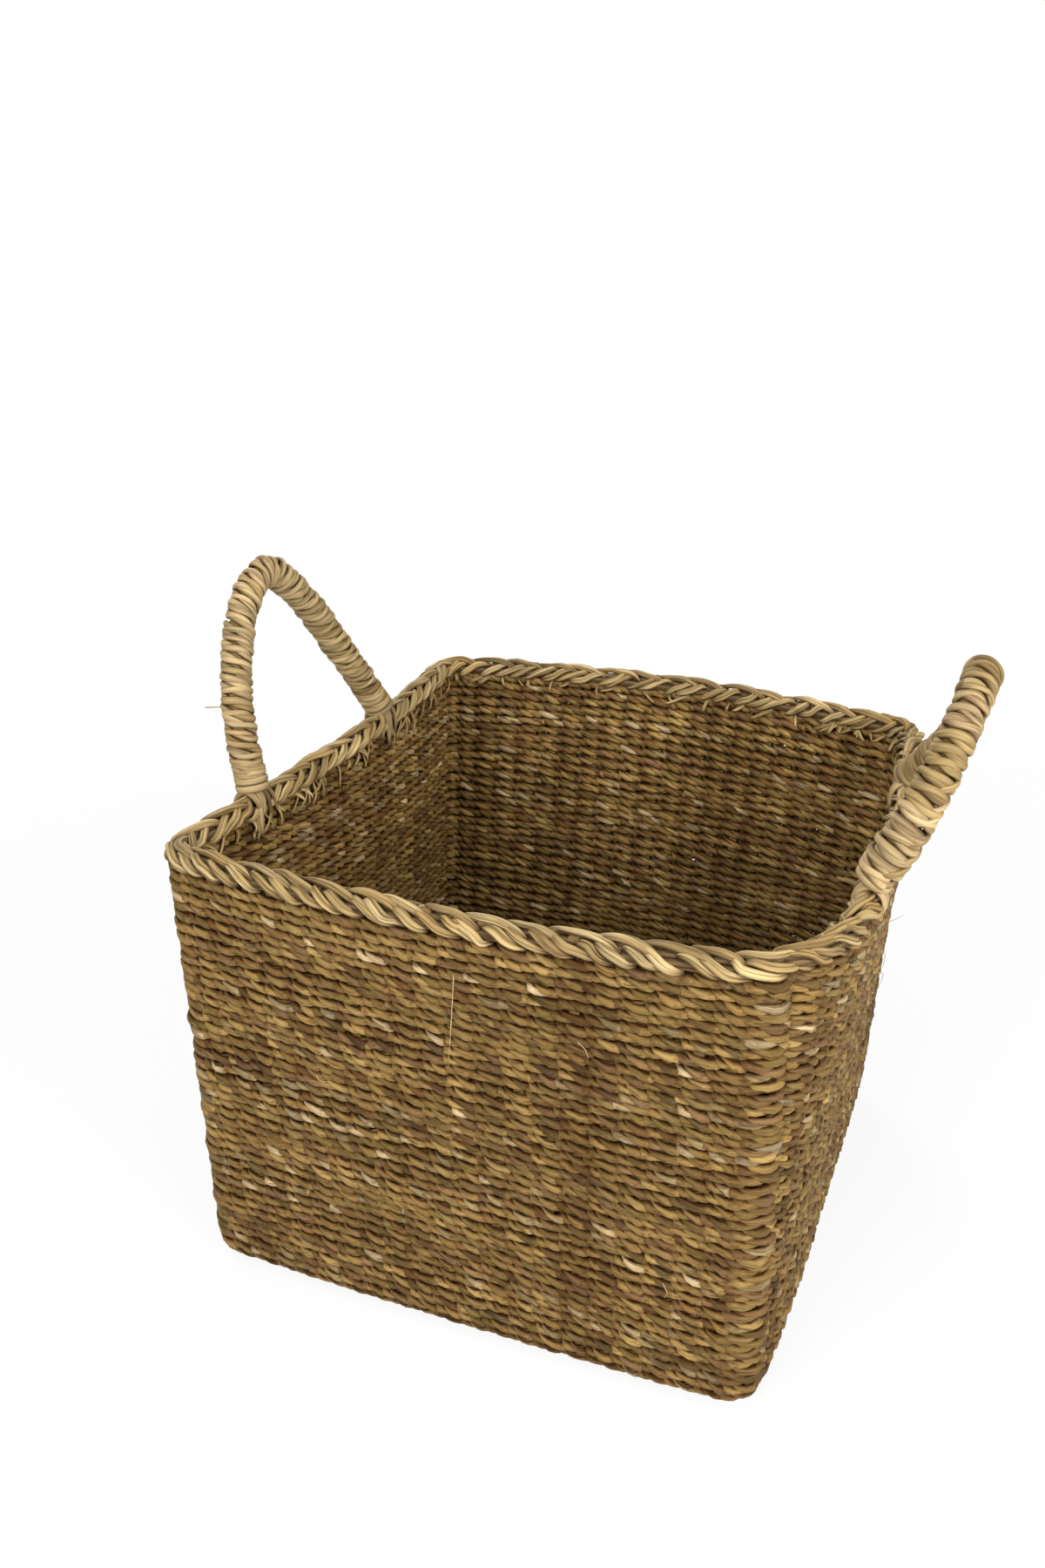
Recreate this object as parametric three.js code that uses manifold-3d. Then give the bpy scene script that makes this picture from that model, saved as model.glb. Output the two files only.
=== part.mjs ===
// Square woven magazine basket with two arched handles, in millimetres with Z up.
// The origin is the middle of the underside, X runs along the front to the right and Y goes back.
// Two sets of stakes cross on the floor and stand up inside the walls, between the outer and
// the inner face of the twined weft. A border of three rows closes the top, and each handle is
// a bundle bent to an arch whose flat ends are pushed down the wall between two stakes.
import * as THREE from "three";
import Module from "manifold-3d";

// Heights
const wallHeight = 316;
const borderHeight = 20;

// Plan of the wall's outer face at the ground
const baseWidth = 400;
const baseDepth = 393;
const baseBow = 3;

// Plan of the wall's outer face under the border
const rimWidth = 402;
const rimDepth = 405;
const rimBowFront = 7;
const rimBowRight = 28;
const rimBowBack = 23;
const rimBowLeft = -12;

// The back corners of the rim have drifted: out to the right, and back
const backRightOut = 18;
const backRightBack = -7;
const backLeftOut = -6;
const backLeftBack = 12;

// Bow of each side at half height, negative where the side is drawn in
const middleBowFront = 1;
const middleBowRight = 10;
const middleBowBack = 9;
const middleBowLeft = -8;

// Thickness of each layer
const weftThickness = 5;
const stakeThickness = 4;
const stakeWidth = 6;
const layerGap = 0.5;

// Least radii, measured on the inside
const innerEdgeRadius = 1.5;
const rimInnerCornerRadius = 5;
const floorCornerRadius = 3;

// Border
const borderOverhang = 3;
const borderRowHeight = 14;
const borderSeamHeight = 10;
const borderShoulderHeight = 17.5;
const borderCrestWidth = 6;
const borderShoulderWidth = 11;

// Stakes
const stakesLengthwise = 20;
const stakesCrosswise = 20;
const stakesPerFacet = 4;
const cornerMargin = 2;

// Handles
const handleDiameter = 22;
const coreDiameter = 14;
const wrapGap = 0.3;
const tongueWidth = 9;
const tongueLength = 90;
const lashingDiameter = 26;
const handleRiseLeft = 131;
const handleRiseRight = 115;
const handleLeanLeft = 12;
const handleLeanRight = 22;

// How far the front and the back leg of a handle bow out between root and top
const legBowsLeft = [1, 1];
const legBowsRight = [3, 9];

// The handles' legs go down between two stakes, counted from the front
const leftLegStakes = [3, 12];
const rightLegStakes = [4, 13];

// Shares and counts that shape the curves
const sidePeakShares = { front: 0.5, right: 0.3, back: 0.5, left: 0.5 };
const middleShare = 0.5;
const cornerTurnShares = [1 / 3, 2 / 3];
const edgeTurnShares = [1, 0.75, 0.5, 0.25];
const archPeakShare = 0.44;
const archShares = [
  [0, 0], [0.02, 0.28], [0.1, 0.6], [0.26, 0.9], [archPeakShare, 1], [0.64, 0.78], [0.82, 0.42], [1, 0],
];
const outerRowShares = [
  [0.175, 0], [0, 0.25], [0, 0.6], [0.2, 0.9], [0.45, 1],
];
const lowerSteps = 4;
const faceSteps = 6;
const seamSteps = 12;
const archSteps = 24;
const handleSides = 12;

// Worked out from the sizes above
const wallThickness = 2 * (weftThickness + layerGap) + stakeThickness;
const floorThickness = 2 * weftThickness + 2 * stakeThickness + 3 * layerGap;
const edgeRadius = floorThickness + innerEdgeRadius;
const rimCornerRadius = rimInnerCornerRadius + wallThickness + borderOverhang;
const baseCornerRadius = floorCornerRadius + edgeRadius;
const innerFaceInset = weftThickness + 2 * layerGap + stakeThickness;
const stakeInset = weftThickness + layerGap;
const upperStakeHeight = stakeInset + stakeThickness + layerGap;
const upperWeftHeight = upperStakeHeight + stakeThickness + layerGap;
const quarterTurn = Math.PI / 2;

const sideNames = ["front", "right", "back", "left"];
const basePlan = {
  width: baseWidth,
  depth: baseDepth,
  corner: baseCornerRadius,
  bows: [baseBow, baseBow, baseBow, baseBow],
  drift: 0,
};
const middlePlan = {
  width: (baseWidth + rimWidth) / 2,
  depth: (baseDepth + rimDepth) / 2,
  corner: (baseCornerRadius + rimCornerRadius) / 2,
  bows: [middleBowFront, middleBowRight, middleBowBack, middleBowLeft],
  drift: middleShare,
};
const rimPlan = {
  width: rimWidth,
  depth: rimDepth,
  corner: rimCornerRadius,
  bows: [rimBowFront, rimBowRight, rimBowBack, rimBowLeft],
  drift: 1,
};

// How much of a side's bow shows at a share of its length, 1 where it peaks
function bowAt(side, share) {
  const peak = sidePeakShares[sideNames[side]];
  const u = share ** (Math.log(0.5) / Math.log(peak));
  return 4 * u * (1 - u);
}

// Unit vectors along a side and out of it; side 0 is the front
function sideAxes(side) {
  const turn = side * quarterTurn;
  const along = new THREE.Vector2(Math.round(Math.cos(turn)), Math.round(Math.sin(turn)));
  const out = new THREE.Vector2(along.y, -along.x);
  return { along, out };
}

// Half lengths of a plan along a side and across it
function halfSizes(plan, side) {
  const halfWidth = plan.width / 2;
  const halfDepth = plan.depth / 2;
  return side % 2 === 0 ? [halfWidth, halfDepth] : [halfDepth, halfWidth];
}

// Moves a point with the back corners' drift
function drifted(plan, point) {
  const right = point.x / plan.width + 0.5;
  const back = point.y / plan.depth + 0.5;
  const left = 1 - right;
  const amount = back * plan.drift;
  return new THREE.Vector2(
    point.x + amount * (right * backRightOut - left * backLeftOut),
    point.y + amount * (right * backRightBack + left * backLeftBack),
  );
}

// A point of a plan's outline, set in from it: on a side at a share of its length,
// or on the corner that follows the side at a share of its turn
function planPoint(plan, station, inset) {
  const { along, out } = sideAxes(station.side);
  const [half, reach] = halfSizes(plan, station.side);
  const straight = half - plan.corner;
  const radius = plan.corner - inset;
  const point = new THREE.Vector2();
  if (station.turn === undefined) {
    point.addScaledVector(along, (2 * station.share - 1) * straight);
    point.addScaledVector(out, reach - inset + plan.bows[station.side] * bowAt(station.side, station.share));
  } else {
    const angle = station.turn * quarterTurn;
    point.addScaledVector(along, straight + radius * Math.sin(angle));
    point.addScaledVector(out, reach - plan.corner + radius * Math.cos(angle));
  }
  return drifted(plan, point);
}

// A point of the wall at a level from 0 at the ground to 1 under the border
function wallPoint(station, level, inset, z) {
  const upper = level > middleShare;
  const [from, to] = upper ? [middlePlan, rimPlan] : [basePlan, middlePlan];
  const share = upper ? (level - middleShare) / (1 - middleShare) : level / middleShare;
  const a = planPoint(from, station, inset);
  const b = planPoint(to, station, inset);
  a.lerp(b, Math.min(share, 1));
  return new THREE.Vector3(a.x, a.y, z);
}

// How many stakes stand in a side
function stakeCount(side) {
  return side % 2 === 0 ? stakesLengthwise : stakesCrosswise;
}

// Length of a side's straight part at the rim, its stakes' pitch and the first stake's place
function sideLayout(side) {
  const [half] = halfSizes(rimPlan, side);
  const length = 2 * (half - rimPlan.corner);
  const first = cornerMargin + stakeWidth / 2;
  const pitch = (length - 2 * first) / (stakeCount(side) - 1);
  return { length, first, pitch };
}

// Share of a side's length at a stake, or between two for an index and a half
function stakeShare(side, index) {
  const { length, first, pitch } = sideLayout(side);
  return (first + index * pitch) / length;
}

// Shares of a side's length where its facets meet, midway between stakes
function facetShares(side) {
  const shares = [0];
  for (let index = stakesPerFacet; index < stakeCount(side); index += stakesPerFacet) {
    shares.push(stakeShare(side, index - 0.5));
  }
  shares.push(1);
  return shares;
}

const stations = [];
for (let side = 0; side < sideNames.length; side++) {
  for (const share of facetShares(side)) stations.push({ side, share });
  for (const turn of cornerTurnShares) stations.push({ side, turn });
}

// A closed ring of points round the wall
function wallRing(level, inset, z) {
  return stations.map((station) => wallPoint(station, level, inset, z));
}

// A point on a side's flat facets, at any share of its length
function facetPoint(side, share, level, inset, z) {
  const shares = facetShares(side);
  let facet = 0;
  while (facet < shares.length - 2 && share > shares[facet + 1]) facet += 1;
  const from = shares[facet];
  const to = shares[facet + 1];
  const a = wallPoint({ side, share: from }, level, inset, z);
  const b = wallPoint({ side, share: to }, level, inset, z);
  return a.lerp(b, (share - from) / (to - from));
}

// Level, inset and height on the rounded bottom edge, for a layer that lies at one depth
// in the wall and at another height over the floor
function edgePlace(turn, wallInset, floorInset) {
  const angle = turn * quarterTurn;
  return {
    level: (edgeRadius / wallHeight) * (1 - Math.sin(angle)),
    inset: edgeRadius - (edgeRadius - wallInset) * Math.cos(angle),
    z: edgeRadius - (edgeRadius - floorInset) * Math.sin(angle),
  };
}

// Places from the floor up the rounded edge and the wall, at one depth
function facePlaces(wallInset, floorInset, upperSteps) {
  const places = edgeTurnShares.map((turn) => edgePlace(turn, wallInset, floorInset));
  const middle = wallHeight * middleShare;
  for (let step = 0; step < lowerSteps; step++) {
    const z = edgeRadius + ((middle - edgeRadius) * step) / lowerSteps;
    places.push({ level: z / wallHeight, inset: wallInset, z });
  }
  for (let step = 0; step <= upperSteps; step++) {
    const z = middle + ((wallHeight - middle) * step) / upperSteps;
    places.push({ level: z / wallHeight, inset: wallInset, z });
  }
  return places;
}

// Signed volume of an indexed geometry, positive where its faces point out
function volumeOf(positions, index) {
  let volume = 0;
  const corner = [new THREE.Vector3(), new THREE.Vector3(), new THREE.Vector3()];
  for (let i = 0; i < index.length; i += 3) {
    corner.forEach((point, k) => point.fromArray(positions, 3 * index[i + k]));
    volume += corner[0].dot(corner[1].cross(corner[2])) / 6;
  }
  return volume;
}

// One closed body through rings of equal count, which wrap back to the first ring or are capped
function bodyThrough(rings, wraps) {
  const count = rings[0].length;
  const positions = rings.flat().flatMap((point) => point.toArray());
  const index = [];
  const spans = wraps ? rings.length : rings.length - 1;
  for (let ring = 0; ring < spans; ring++) {
    const here = ring * count;
    const next = ((ring + 1) % rings.length) * count;
    for (let j = 0; j < count; j++) {
      const k = (j + 1) % count;
      index.push(here + j, here + k, next + k, here + j, next + k, next + j);
    }
  }
  if (!wraps) {
    const end = (rings.length - 1) * count;
    for (let j = 1; j < count - 1; j++) index.push(0, j + 1, j, end, end + j, end + j + 1);
  }
  if (volumeOf(positions, index) < 0) index.reverse();
  const geometry = new THREE.BufferGeometry();
  geometry.setAttribute("position", new THREE.Float32BufferAttribute(positions, 3));
  geometry.setIndex(index);
  return geometry;
}

// A skin of the twined wall between two depths, from the floor's edge to the border
function wallSkin(outer, inner) {
  const outerRings = facePlaces(outer.wall, outer.floor, outer.steps);
  const innerRings = facePlaces(inner.wall, inner.floor, inner.steps);
  const places = [...outerRings, ...innerRings.reverse()];
  return bodyThrough(places.map((place) => wallRing(place.level, place.inset, place.z)), true);
}

const wallWeftOuter = wallSkin(
  { wall: 0, floor: 0, steps: faceSteps },
  { wall: weftThickness, floor: weftThickness, steps: seamSteps },
);
const wallWeftInner = wallSkin(
  { wall: innerFaceInset, floor: upperWeftHeight, steps: seamSteps },
  { wall: wallThickness, floor: floorThickness, steps: faceSteps },
);

// A flat layer of the floor inside the rounded edge
function floorPlate(bottom, top) {
  const inset = edgeRadius + layerGap;
  return bodyThrough([wallRing(0, inset, bottom), wallRing(0, inset, top)], false);
}

const floorWeftUnder = floorPlate(0, weftThickness);
const floorWeftUpper = floorPlate(upperWeftHeight, floorThickness);

// Half of a stake: its four-cornered sections from its top in the border down to the floor.
// The low side is the one with the lesser share, and flips for the far half.
function stakeHalf(side, index, floorHeight, far) {
  const { length } = sideLayout(side);
  const half = stakeWidth / 2 / length;
  const middle = stakeShare(side, index);
  const edges = far ? [middle + half, middle - half] : [middle - half, middle + half];
  const outer = (place) => place(stakeInset, floorHeight);
  const inner = (place) => place(stakeInset + stakeThickness, floorHeight + stakeThickness);
  const places = [
    (wall) => ({ level: 1, inset: wall, z: wallHeight + borderSeamHeight }),
    (wall) => ({ level: 1, inset: wall, z: wallHeight }),
    (wall) => ({ level: middleShare, inset: wall, z: wallHeight * middleShare }),
    (wall) => ({ level: edgeRadius / wallHeight, inset: wall, z: edgeRadius }),
    ...[...edgeTurnShares].reverse().map((turn) => (wall, floor) => edgePlace(turn, wall, floor)),
  ];
  return places.map((place) => {
    const out = outer(place);
    const back = inner(place);
    return [
      facetPoint(side, edges[0], out.level, out.inset, out.z),
      facetPoint(side, edges[1], out.level, out.inset, out.z),
      facetPoint(side, edges[1], back.level, back.inset, back.z),
      facetPoint(side, edges[0], back.level, back.inset, back.z),
    ];
  });
}

// A stake up one wall, across the floor and up the opposite wall
function stake(side, index, floorHeight) {
  const opposite = side + 2;
  const mirrored = stakeCount(side) - 1 - index;
  const near = stakeHalf(side, index, floorHeight, false);
  const far = stakeHalf(opposite, mirrored, floorHeight, true);
  return bodyThrough([...near, ...far.reverse()], false);
}

// Outline of the border's outer row as depth into the wall and height over the wall's top
const rowWidth = borderOverhang + weftThickness;
const outerRowOutline = [
  new THREE.Vector2(weftThickness, layerGap),
  ...outerRowShares.map(
    ([across, up]) =>
      new THREE.Vector2(
        across * rowWidth - borderOverhang,
        layerGap + up * (borderRowHeight - layerGap),
      ),
  ),
  new THREE.Vector2(weftThickness, borderSeamHeight),
];
const innerRowOutline = outerRowOutline.map(
  (point) => new THREE.Vector2(wallThickness - point.x, point.y),
);

// The top row lies in the notch between the two others, clear of both
const rowPeak = outerRowOutline[outerRowOutline.length - 2];
const rowSeam = outerRowOutline[outerRowOutline.length - 1];
const middleDepth = wallThickness / 2;
const topRowHalf = [
  new THREE.Vector2(middleDepth - rowSeam.x - layerGap, rowSeam.y + 2 * layerGap),
  new THREE.Vector2(middleDepth - rowPeak.x - layerGap, rowPeak.y + layerGap),
  new THREE.Vector2(borderShoulderWidth / 2, borderShoulderHeight),
  new THREE.Vector2(borderCrestWidth / 2, borderHeight),
];
const topRowOutline = [
  ...topRowHalf.map((point) => new THREE.Vector2(middleDepth + point.x, point.y)),
  ...topRowHalf.map((point) => new THREE.Vector2(middleDepth - point.x, point.y)).reverse(),
];

// A row of the border, from its outline round the top of the wall
function borderRow(outline) {
  return bodyThrough(
    outline.map((point) => wallRing(1, point.x, wallHeight + point.y)),
    true,
  );
}

// An elliptic section about a centre, across a frame of unit vectors
function section(frame, halfAlong, halfOut) {
  const points = [];
  for (let i = 0; i < handleSides; i++) {
    const angle = (2 * Math.PI * i) / handleSides;
    const point = frame.centre.clone();
    point.addScaledVector(frame.along, halfAlong * Math.cos(angle));
    point.addScaledVector(frame.out, halfOut * Math.sin(angle));
    points.push(point);
  }
  return points;
}

const legRoot = wallHeight + borderHeight + layerGap;
const upward = new THREE.Vector3(0, 0, 1);

// Frame of a handle's flat end in the wall, at a height; the frame turns over on the way down
function tongueFrame(side, share, z, descends) {
  const level = Math.min(z / wallHeight, 1);
  const { length } = sideLayout(side);
  const step = stakeWidth / 2 / length;
  const centre = facetPoint(side, share, level, middleDepth, z);
  const before = facetPoint(side, share - step, level, middleDepth, z);
  const after = facetPoint(side, share + step, level, middleDepth, z);
  const along = after.sub(before).normalize();
  const out = along.clone().cross(upward);
  const tangent = upward.clone().multiplyScalar(descends ? -1 : 1);
  return { centre, out, along: out.clone().cross(tangent) };
}

// Frames along a handle: flat end, arch, flat end
function handleFrames(side, legs, rise, lean, bows) {
  const count = stakeCount(side);
  const fromFront = side === 1 ? legs : legs.map((index) => count - 2 - index);
  const shares = fromFront.map((index) => stakeShare(side, index + 0.5));
  const low = wallHeight - tongueLength;
  const roots = shares.map((share, leg) => tongueFrame(side, share, legRoot, leg === 1));
  const span = roots[1].centre.clone().sub(roots[0].centre);
  const across = span.clone().normalize();
  const outward = sideAxes(side).out;
  const flatOut = new THREE.Vector3(outward.x, outward.y, 0);
  flatOut.addScaledVector(across, -flatOut.dot(across)).normalize();
  const angle = THREE.MathUtils.degToRad(lean);
  const up = upward.clone().multiplyScalar(Math.cos(angle)).addScaledVector(flatOut, Math.sin(angle));
  const out = flatOut.clone().multiplyScalar(Math.cos(angle)).addScaledVector(upward, -Math.sin(angle));
  const archPoint = ([along, height]) => {
    const point = roots[0].centre.clone().addScaledVector(span, along);
    point.addScaledVector(up, height * rise);
    const bow = along < archPeakShare ? bows[0] : bows[1];
    return point.addScaledVector(out, 4 * height * (1 - height) * bow);
  };
  const curve = new THREE.CatmullRomCurve3(archShares.map(archPoint), false, "centripetal");
  const frameAt = (share) => ({
    centre: curve.getPointAt(share),
    out,
    along: out.clone().cross(curve.getTangentAt(share)),
  });
  return {
    tongues: shares.map((share, leg) =>
      [low, wallHeight].map((z) => tongueFrame(side, share, z, leg === 1)),
    ),
    roots,
    frameAt,
    length: curve.getLength(),
  };
}

// Frames of the arch between the two lashings
function archFrames(handle) {
  const frames = [];
  for (let step = 1; step < archSteps; step++) frames.push(handle.frameAt(step / archSteps));
  return frames;
}

// The core: a flat tongue in the wall, round through the arch, and flat again
function handleCore(handle) {
  const flat = (frame) => section(frame, tongueWidth / 2, stakeThickness / 2);
  const round = (frame) => section(frame, coreDiameter / 2, coreDiameter / 2);
  const [start, end] = handle.tongues;
  const [rise, fall] = handle.roots;
  return bodyThrough(
    [
      ...start.map(flat),
      flat(rise),
      ...archFrames(handle).map(round),
      flat(fall),
      ...end.reverse().map(flat),
    ],
    false,
  );
}

// A sleeve through frames, with a bore; each entry gives a frame, its outer and its bore sizes.
// The bore comes first, so that its facets are split the same way as those of the core in it.
function sleeve(entries) {
  const bore = entries.map(({ frame, hole }) => section(frame, hole[0], hole[1]));
  const outer = entries.map(({ frame, size }) => section(frame, size, size));
  return bodyThrough([...bore, ...outer.reverse()], true);
}

// The wrapping round a handle, between its lashings
function handleWrap(handle) {
  const gapShare = wrapGap / handle.length;
  const frames = archFrames(handle);
  frames[0] = handle.frameAt(1 / archSteps + gapShare);
  frames[frames.length - 1] = handle.frameAt(1 - 1 / archSteps - gapShare);
  const hole = coreDiameter / 2 + wrapGap;
  return sleeve(frames.map((frame) => ({ frame, size: handleDiameter / 2, hole: [hole, hole] })));
}

// The lashing at the foot of a leg, on the border
function lashing(handle, leg) {
  const next = handle.frameAt(leg === 0 ? 1 / archSteps : 1 - 1 / archSteps);
  const hole = coreDiameter / 2 + wrapGap;
  const foot = {
    frame: handle.roots[leg],
    size: lashingDiameter / 2,
    hole: [tongueWidth / 2 + wrapGap, stakeThickness / 2 + wrapGap],
  };
  const top = { frame: next, size: handleDiameter / 2, hole: [hole, hole] };
  return sleeve(leg === 0 ? [foot, top] : [top, foot]);
}

const wasm = await Module();
wasm.setup();

// Geometry to solid and back, for the cuts
function solidOf(geometry) {
  return new wasm.Manifold(
    new wasm.Mesh({
      numProp: 3,
      vertProperties: new Float32Array(geometry.getAttribute("position").array),
      triVerts: new Uint32Array(geometry.getIndex().array),
    }),
  );
}

function geometryOf(solid) {
  const mesh = solid.getMesh();
  const geometry = new THREE.BufferGeometry();
  geometry.setAttribute("position", new THREE.Float32BufferAttribute(mesh.vertProperties, 3));
  geometry.setIndex([...mesh.triVerts]);
  return geometry;
}

// Cuts a slot through the top row for every flat end of the handles
function withSlots(geometry, handles) {
  let solid = solidOf(geometry);
  for (const handle of handles) {
    for (const root of handle.roots) {
      const cutter = [-borderHeight, borderHeight].map((shift) => {
        const frame = { ...root, centre: root.centre.clone().addScaledVector(upward, shift) };
        return section(frame, tongueWidth / 2 + layerGap, stakeThickness / 2 + layerGap);
      });
      solid = solid.subtract(solidOf(bodyThrough(cutter, false)));
    }
  }
  return geometryOf(solid);
}

// Dried seagrass, in the shades of the wall, the stakes, the border and the handles
function seagrass(color) {
  return new THREE.MeshStandardMaterial({ color, roughness: 0.85, metalness: 0, flatShading: true });
}

const shades = {
  weftOuter: 0x9a8456,
  weftInner: 0x7d6a45,
  stake: 0x8c7a50,
  border: 0xb29b68,
  core: 0xa08a60,
  handle: 0xc2a878,
  lashing: 0xb8a272,
};

const basket = new THREE.Group();

function addPiece(name, geometry, color) {
  const mesh = new THREE.Mesh(geometry, seagrass(color));
  mesh.name = name;
  basket.add(mesh);
}

function numbered(name, index) {
  return `${name}_${String(index + 1).padStart(2, "0")}`;
}

const handleLeft = handleFrames(
  3, leftLegStakes, handleRiseLeft, handleLeanLeft, legBowsLeft,
);
const handleRight = handleFrames(
  1, rightLegStakes, handleRiseRight, handleLeanRight, legBowsRight,
);

addPiece("wall_weft_outer", wallWeftOuter, shades.weftOuter);
addPiece("wall_weft_inner", wallWeftInner, shades.weftInner);
addPiece("floor_weft_under", floorWeftUnder, shades.weftOuter);
addPiece("floor_weft_upper", floorWeftUpper, shades.weftInner);
for (let index = 0; index < stakesLengthwise; index++) {
  addPiece(numbered("stake_lengthwise", index), stake(0, index, upperStakeHeight), shades.stake);
}
for (let index = 0; index < stakesCrosswise; index++) {
  addPiece(numbered("stake_crosswise", index), stake(1, index, stakeInset), shades.stake);
}
addPiece("border_outer_row", borderRow(outerRowOutline), shades.border);
addPiece("border_inner_row", borderRow(innerRowOutline), shades.border);
addPiece(
  "border_top_row",
  withSlots(borderRow(topRowOutline), [handleLeft, handleRight]),
  shades.border,
);
for (const [name, handle] of [["left", handleLeft], ["right", handleRight]]) {
  addPiece(`handle_core_${name}`, handleCore(handle), shades.core);
  addPiece(`handle_wrap_${name}`, handleWrap(handle), shades.handle);
  addPiece(`lashing_${name}_front`, lashing(handle, 0), shades.lashing);
  addPiece(`lashing_${name}_back`, lashing(handle, 1), shades.lashing);
}

export default basket;
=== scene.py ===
"""Square basket twined from dried seagrass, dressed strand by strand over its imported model, in metres."""
import logging
import math
from dataclasses import dataclass, field
from enum import Enum

import bpy
import numpy as np
from mathutils import Matrix, Vector


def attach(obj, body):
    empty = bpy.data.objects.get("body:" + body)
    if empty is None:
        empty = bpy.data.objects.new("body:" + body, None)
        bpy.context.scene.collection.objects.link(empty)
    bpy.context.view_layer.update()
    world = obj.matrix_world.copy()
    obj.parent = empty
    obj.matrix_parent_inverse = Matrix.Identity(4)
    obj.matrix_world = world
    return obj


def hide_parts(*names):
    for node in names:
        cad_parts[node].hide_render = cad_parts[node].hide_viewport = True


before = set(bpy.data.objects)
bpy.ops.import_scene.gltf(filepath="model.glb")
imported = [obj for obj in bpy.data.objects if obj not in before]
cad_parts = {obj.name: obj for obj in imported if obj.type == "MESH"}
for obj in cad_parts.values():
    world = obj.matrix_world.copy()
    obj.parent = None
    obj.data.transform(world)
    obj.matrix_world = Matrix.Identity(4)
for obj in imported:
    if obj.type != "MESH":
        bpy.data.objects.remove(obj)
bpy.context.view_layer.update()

BODY = "root"
MM = 0.001
TINY = 1e-12
SIDES = 4
TURNS = 2 * SIDES
LONGEST_START = 9.0
HALF_TURN = math.pi
FULL_TURN = 2 * math.pi
UP = np.array([0.0, 0.0, 1.0])
ORDER = ("first", "second")
Pair = tuple[float, float]
Triple = tuple[float, float, float]
Quad = tuple[float, float, float, float]
Values = np.ndarray | float
log = logging.getLogger("basket")


def lerp(low: float, high: float, share: Values) -> Values:
    """Value at a share of the way from low to high."""
    return low + (high - low) * share


def unit(vectors: np.ndarray) -> np.ndarray:
    """The same vectors at length one."""
    return vectors / np.maximum(np.linalg.norm(vectors, axis=-1, keepdims=True), TINY)


def tangents(points: np.ndarray) -> np.ndarray:
    """Unit directions along a line of points."""
    return unit(np.gradient(points, axis=0))


def turned(across: np.ndarray, facing: np.ndarray, angle: np.ndarray) -> np.ndarray:
    """Vectors turned by angles from one way towards another."""
    return across * np.cos(angle)[:, None] + facing * np.sin(angle)[:, None]


def run_lengths(points: np.ndarray) -> np.ndarray:
    """Length along a line of points, from its first point to each."""
    steps = np.linalg.norm(np.diff(points, axis=0), axis=1)
    return np.concatenate([[0.0], np.cumsum(steps)])


def on_line(points: np.ndarray, at: np.ndarray) -> np.ndarray:
    """Points at given lengths along a line of points."""
    length = run_lengths(points)
    return np.column_stack([np.interp(at, length, points[:, axis]) for axis in range(3)])


def column(value: Values, count: int) -> np.ndarray:
    """A value for each of some points, as a column."""
    return np.broadcast_to(value, count)[:, None]


def stacked(parts: list[np.ndarray]) -> np.ndarray:
    """The rows of three of all parts, one below the other."""
    return np.concatenate([part.reshape(-1, 3) for part in parts])


def waves(table: tuple[Triple, ...], course: np.ndarray) -> np.ndarray:
    """Sum of waves round the basket, each given by its size, its number and its drift in one course."""
    return sum(size * np.sin(course * FULL_TURN * times + course * drift) for size, times, drift in table)


def smooth_keys(keys: np.ndarray, count: int) -> np.ndarray:
    """Samples a smooth curve through a few rows of keys.

    Args:
        keys: One row per key, of any number of columns.
        count: How many rows to return.

    Returns:
        Rows sampled at even steps from the first key to the last.
    """
    padded = np.vstack([2 * keys[0] - keys[1], keys, 2 * keys[-1] - keys[-2]])
    place = np.linspace(0, len(keys) - 1, count)
    first = np.minimum(place.astype(int), len(keys) - 2)
    t = (place - first)[:, None]
    a, b, c, d = (padded[first + shift] for shift in range(4))
    return 0.5 * (2 * b + (c - a) * t + (2 * a - 5 * b + 4 * c - d) * t**2 + (3 * b - a - 3 * c + d) * t**3)


class Tone:
    """A shader socket that takes part in sums as a number does."""

    def __init__(self, bench: "Bench", socket: bpy.types.NodeSocket) -> None:
        """Keeps the socket and the bench that it lies on."""
        self.bench = bench
        self.socket = socket

    def __add__(self, other: "Tone | float") -> "Tone":
        """Sum."""
        return self.bench.maths("ADD", self, other)

    __radd__ = __add__

    def __mul__(self, other: "Tone | float") -> "Tone":
        """Product."""
        return self.bench.maths("MULTIPLY", self, other)

    __rmul__ = __mul__

    def __sub__(self, other: "Tone | float") -> "Tone":
        """Difference."""
        return self.bench.maths("SUBTRACT", self, other)

    def __rsub__(self, other: float) -> "Tone":
        """Difference from a number."""
        return self.bench.maths("SUBTRACT", other, self)

    def __pow__(self, other: float) -> "Tone":
        """Power."""
        return self.bench.maths("POWER", self, other)

    def swing(self, amount: float) -> "Tone":
        """A value from 0 to 1 as a swing about zero."""
        return (self - 0.5) * amount


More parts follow.
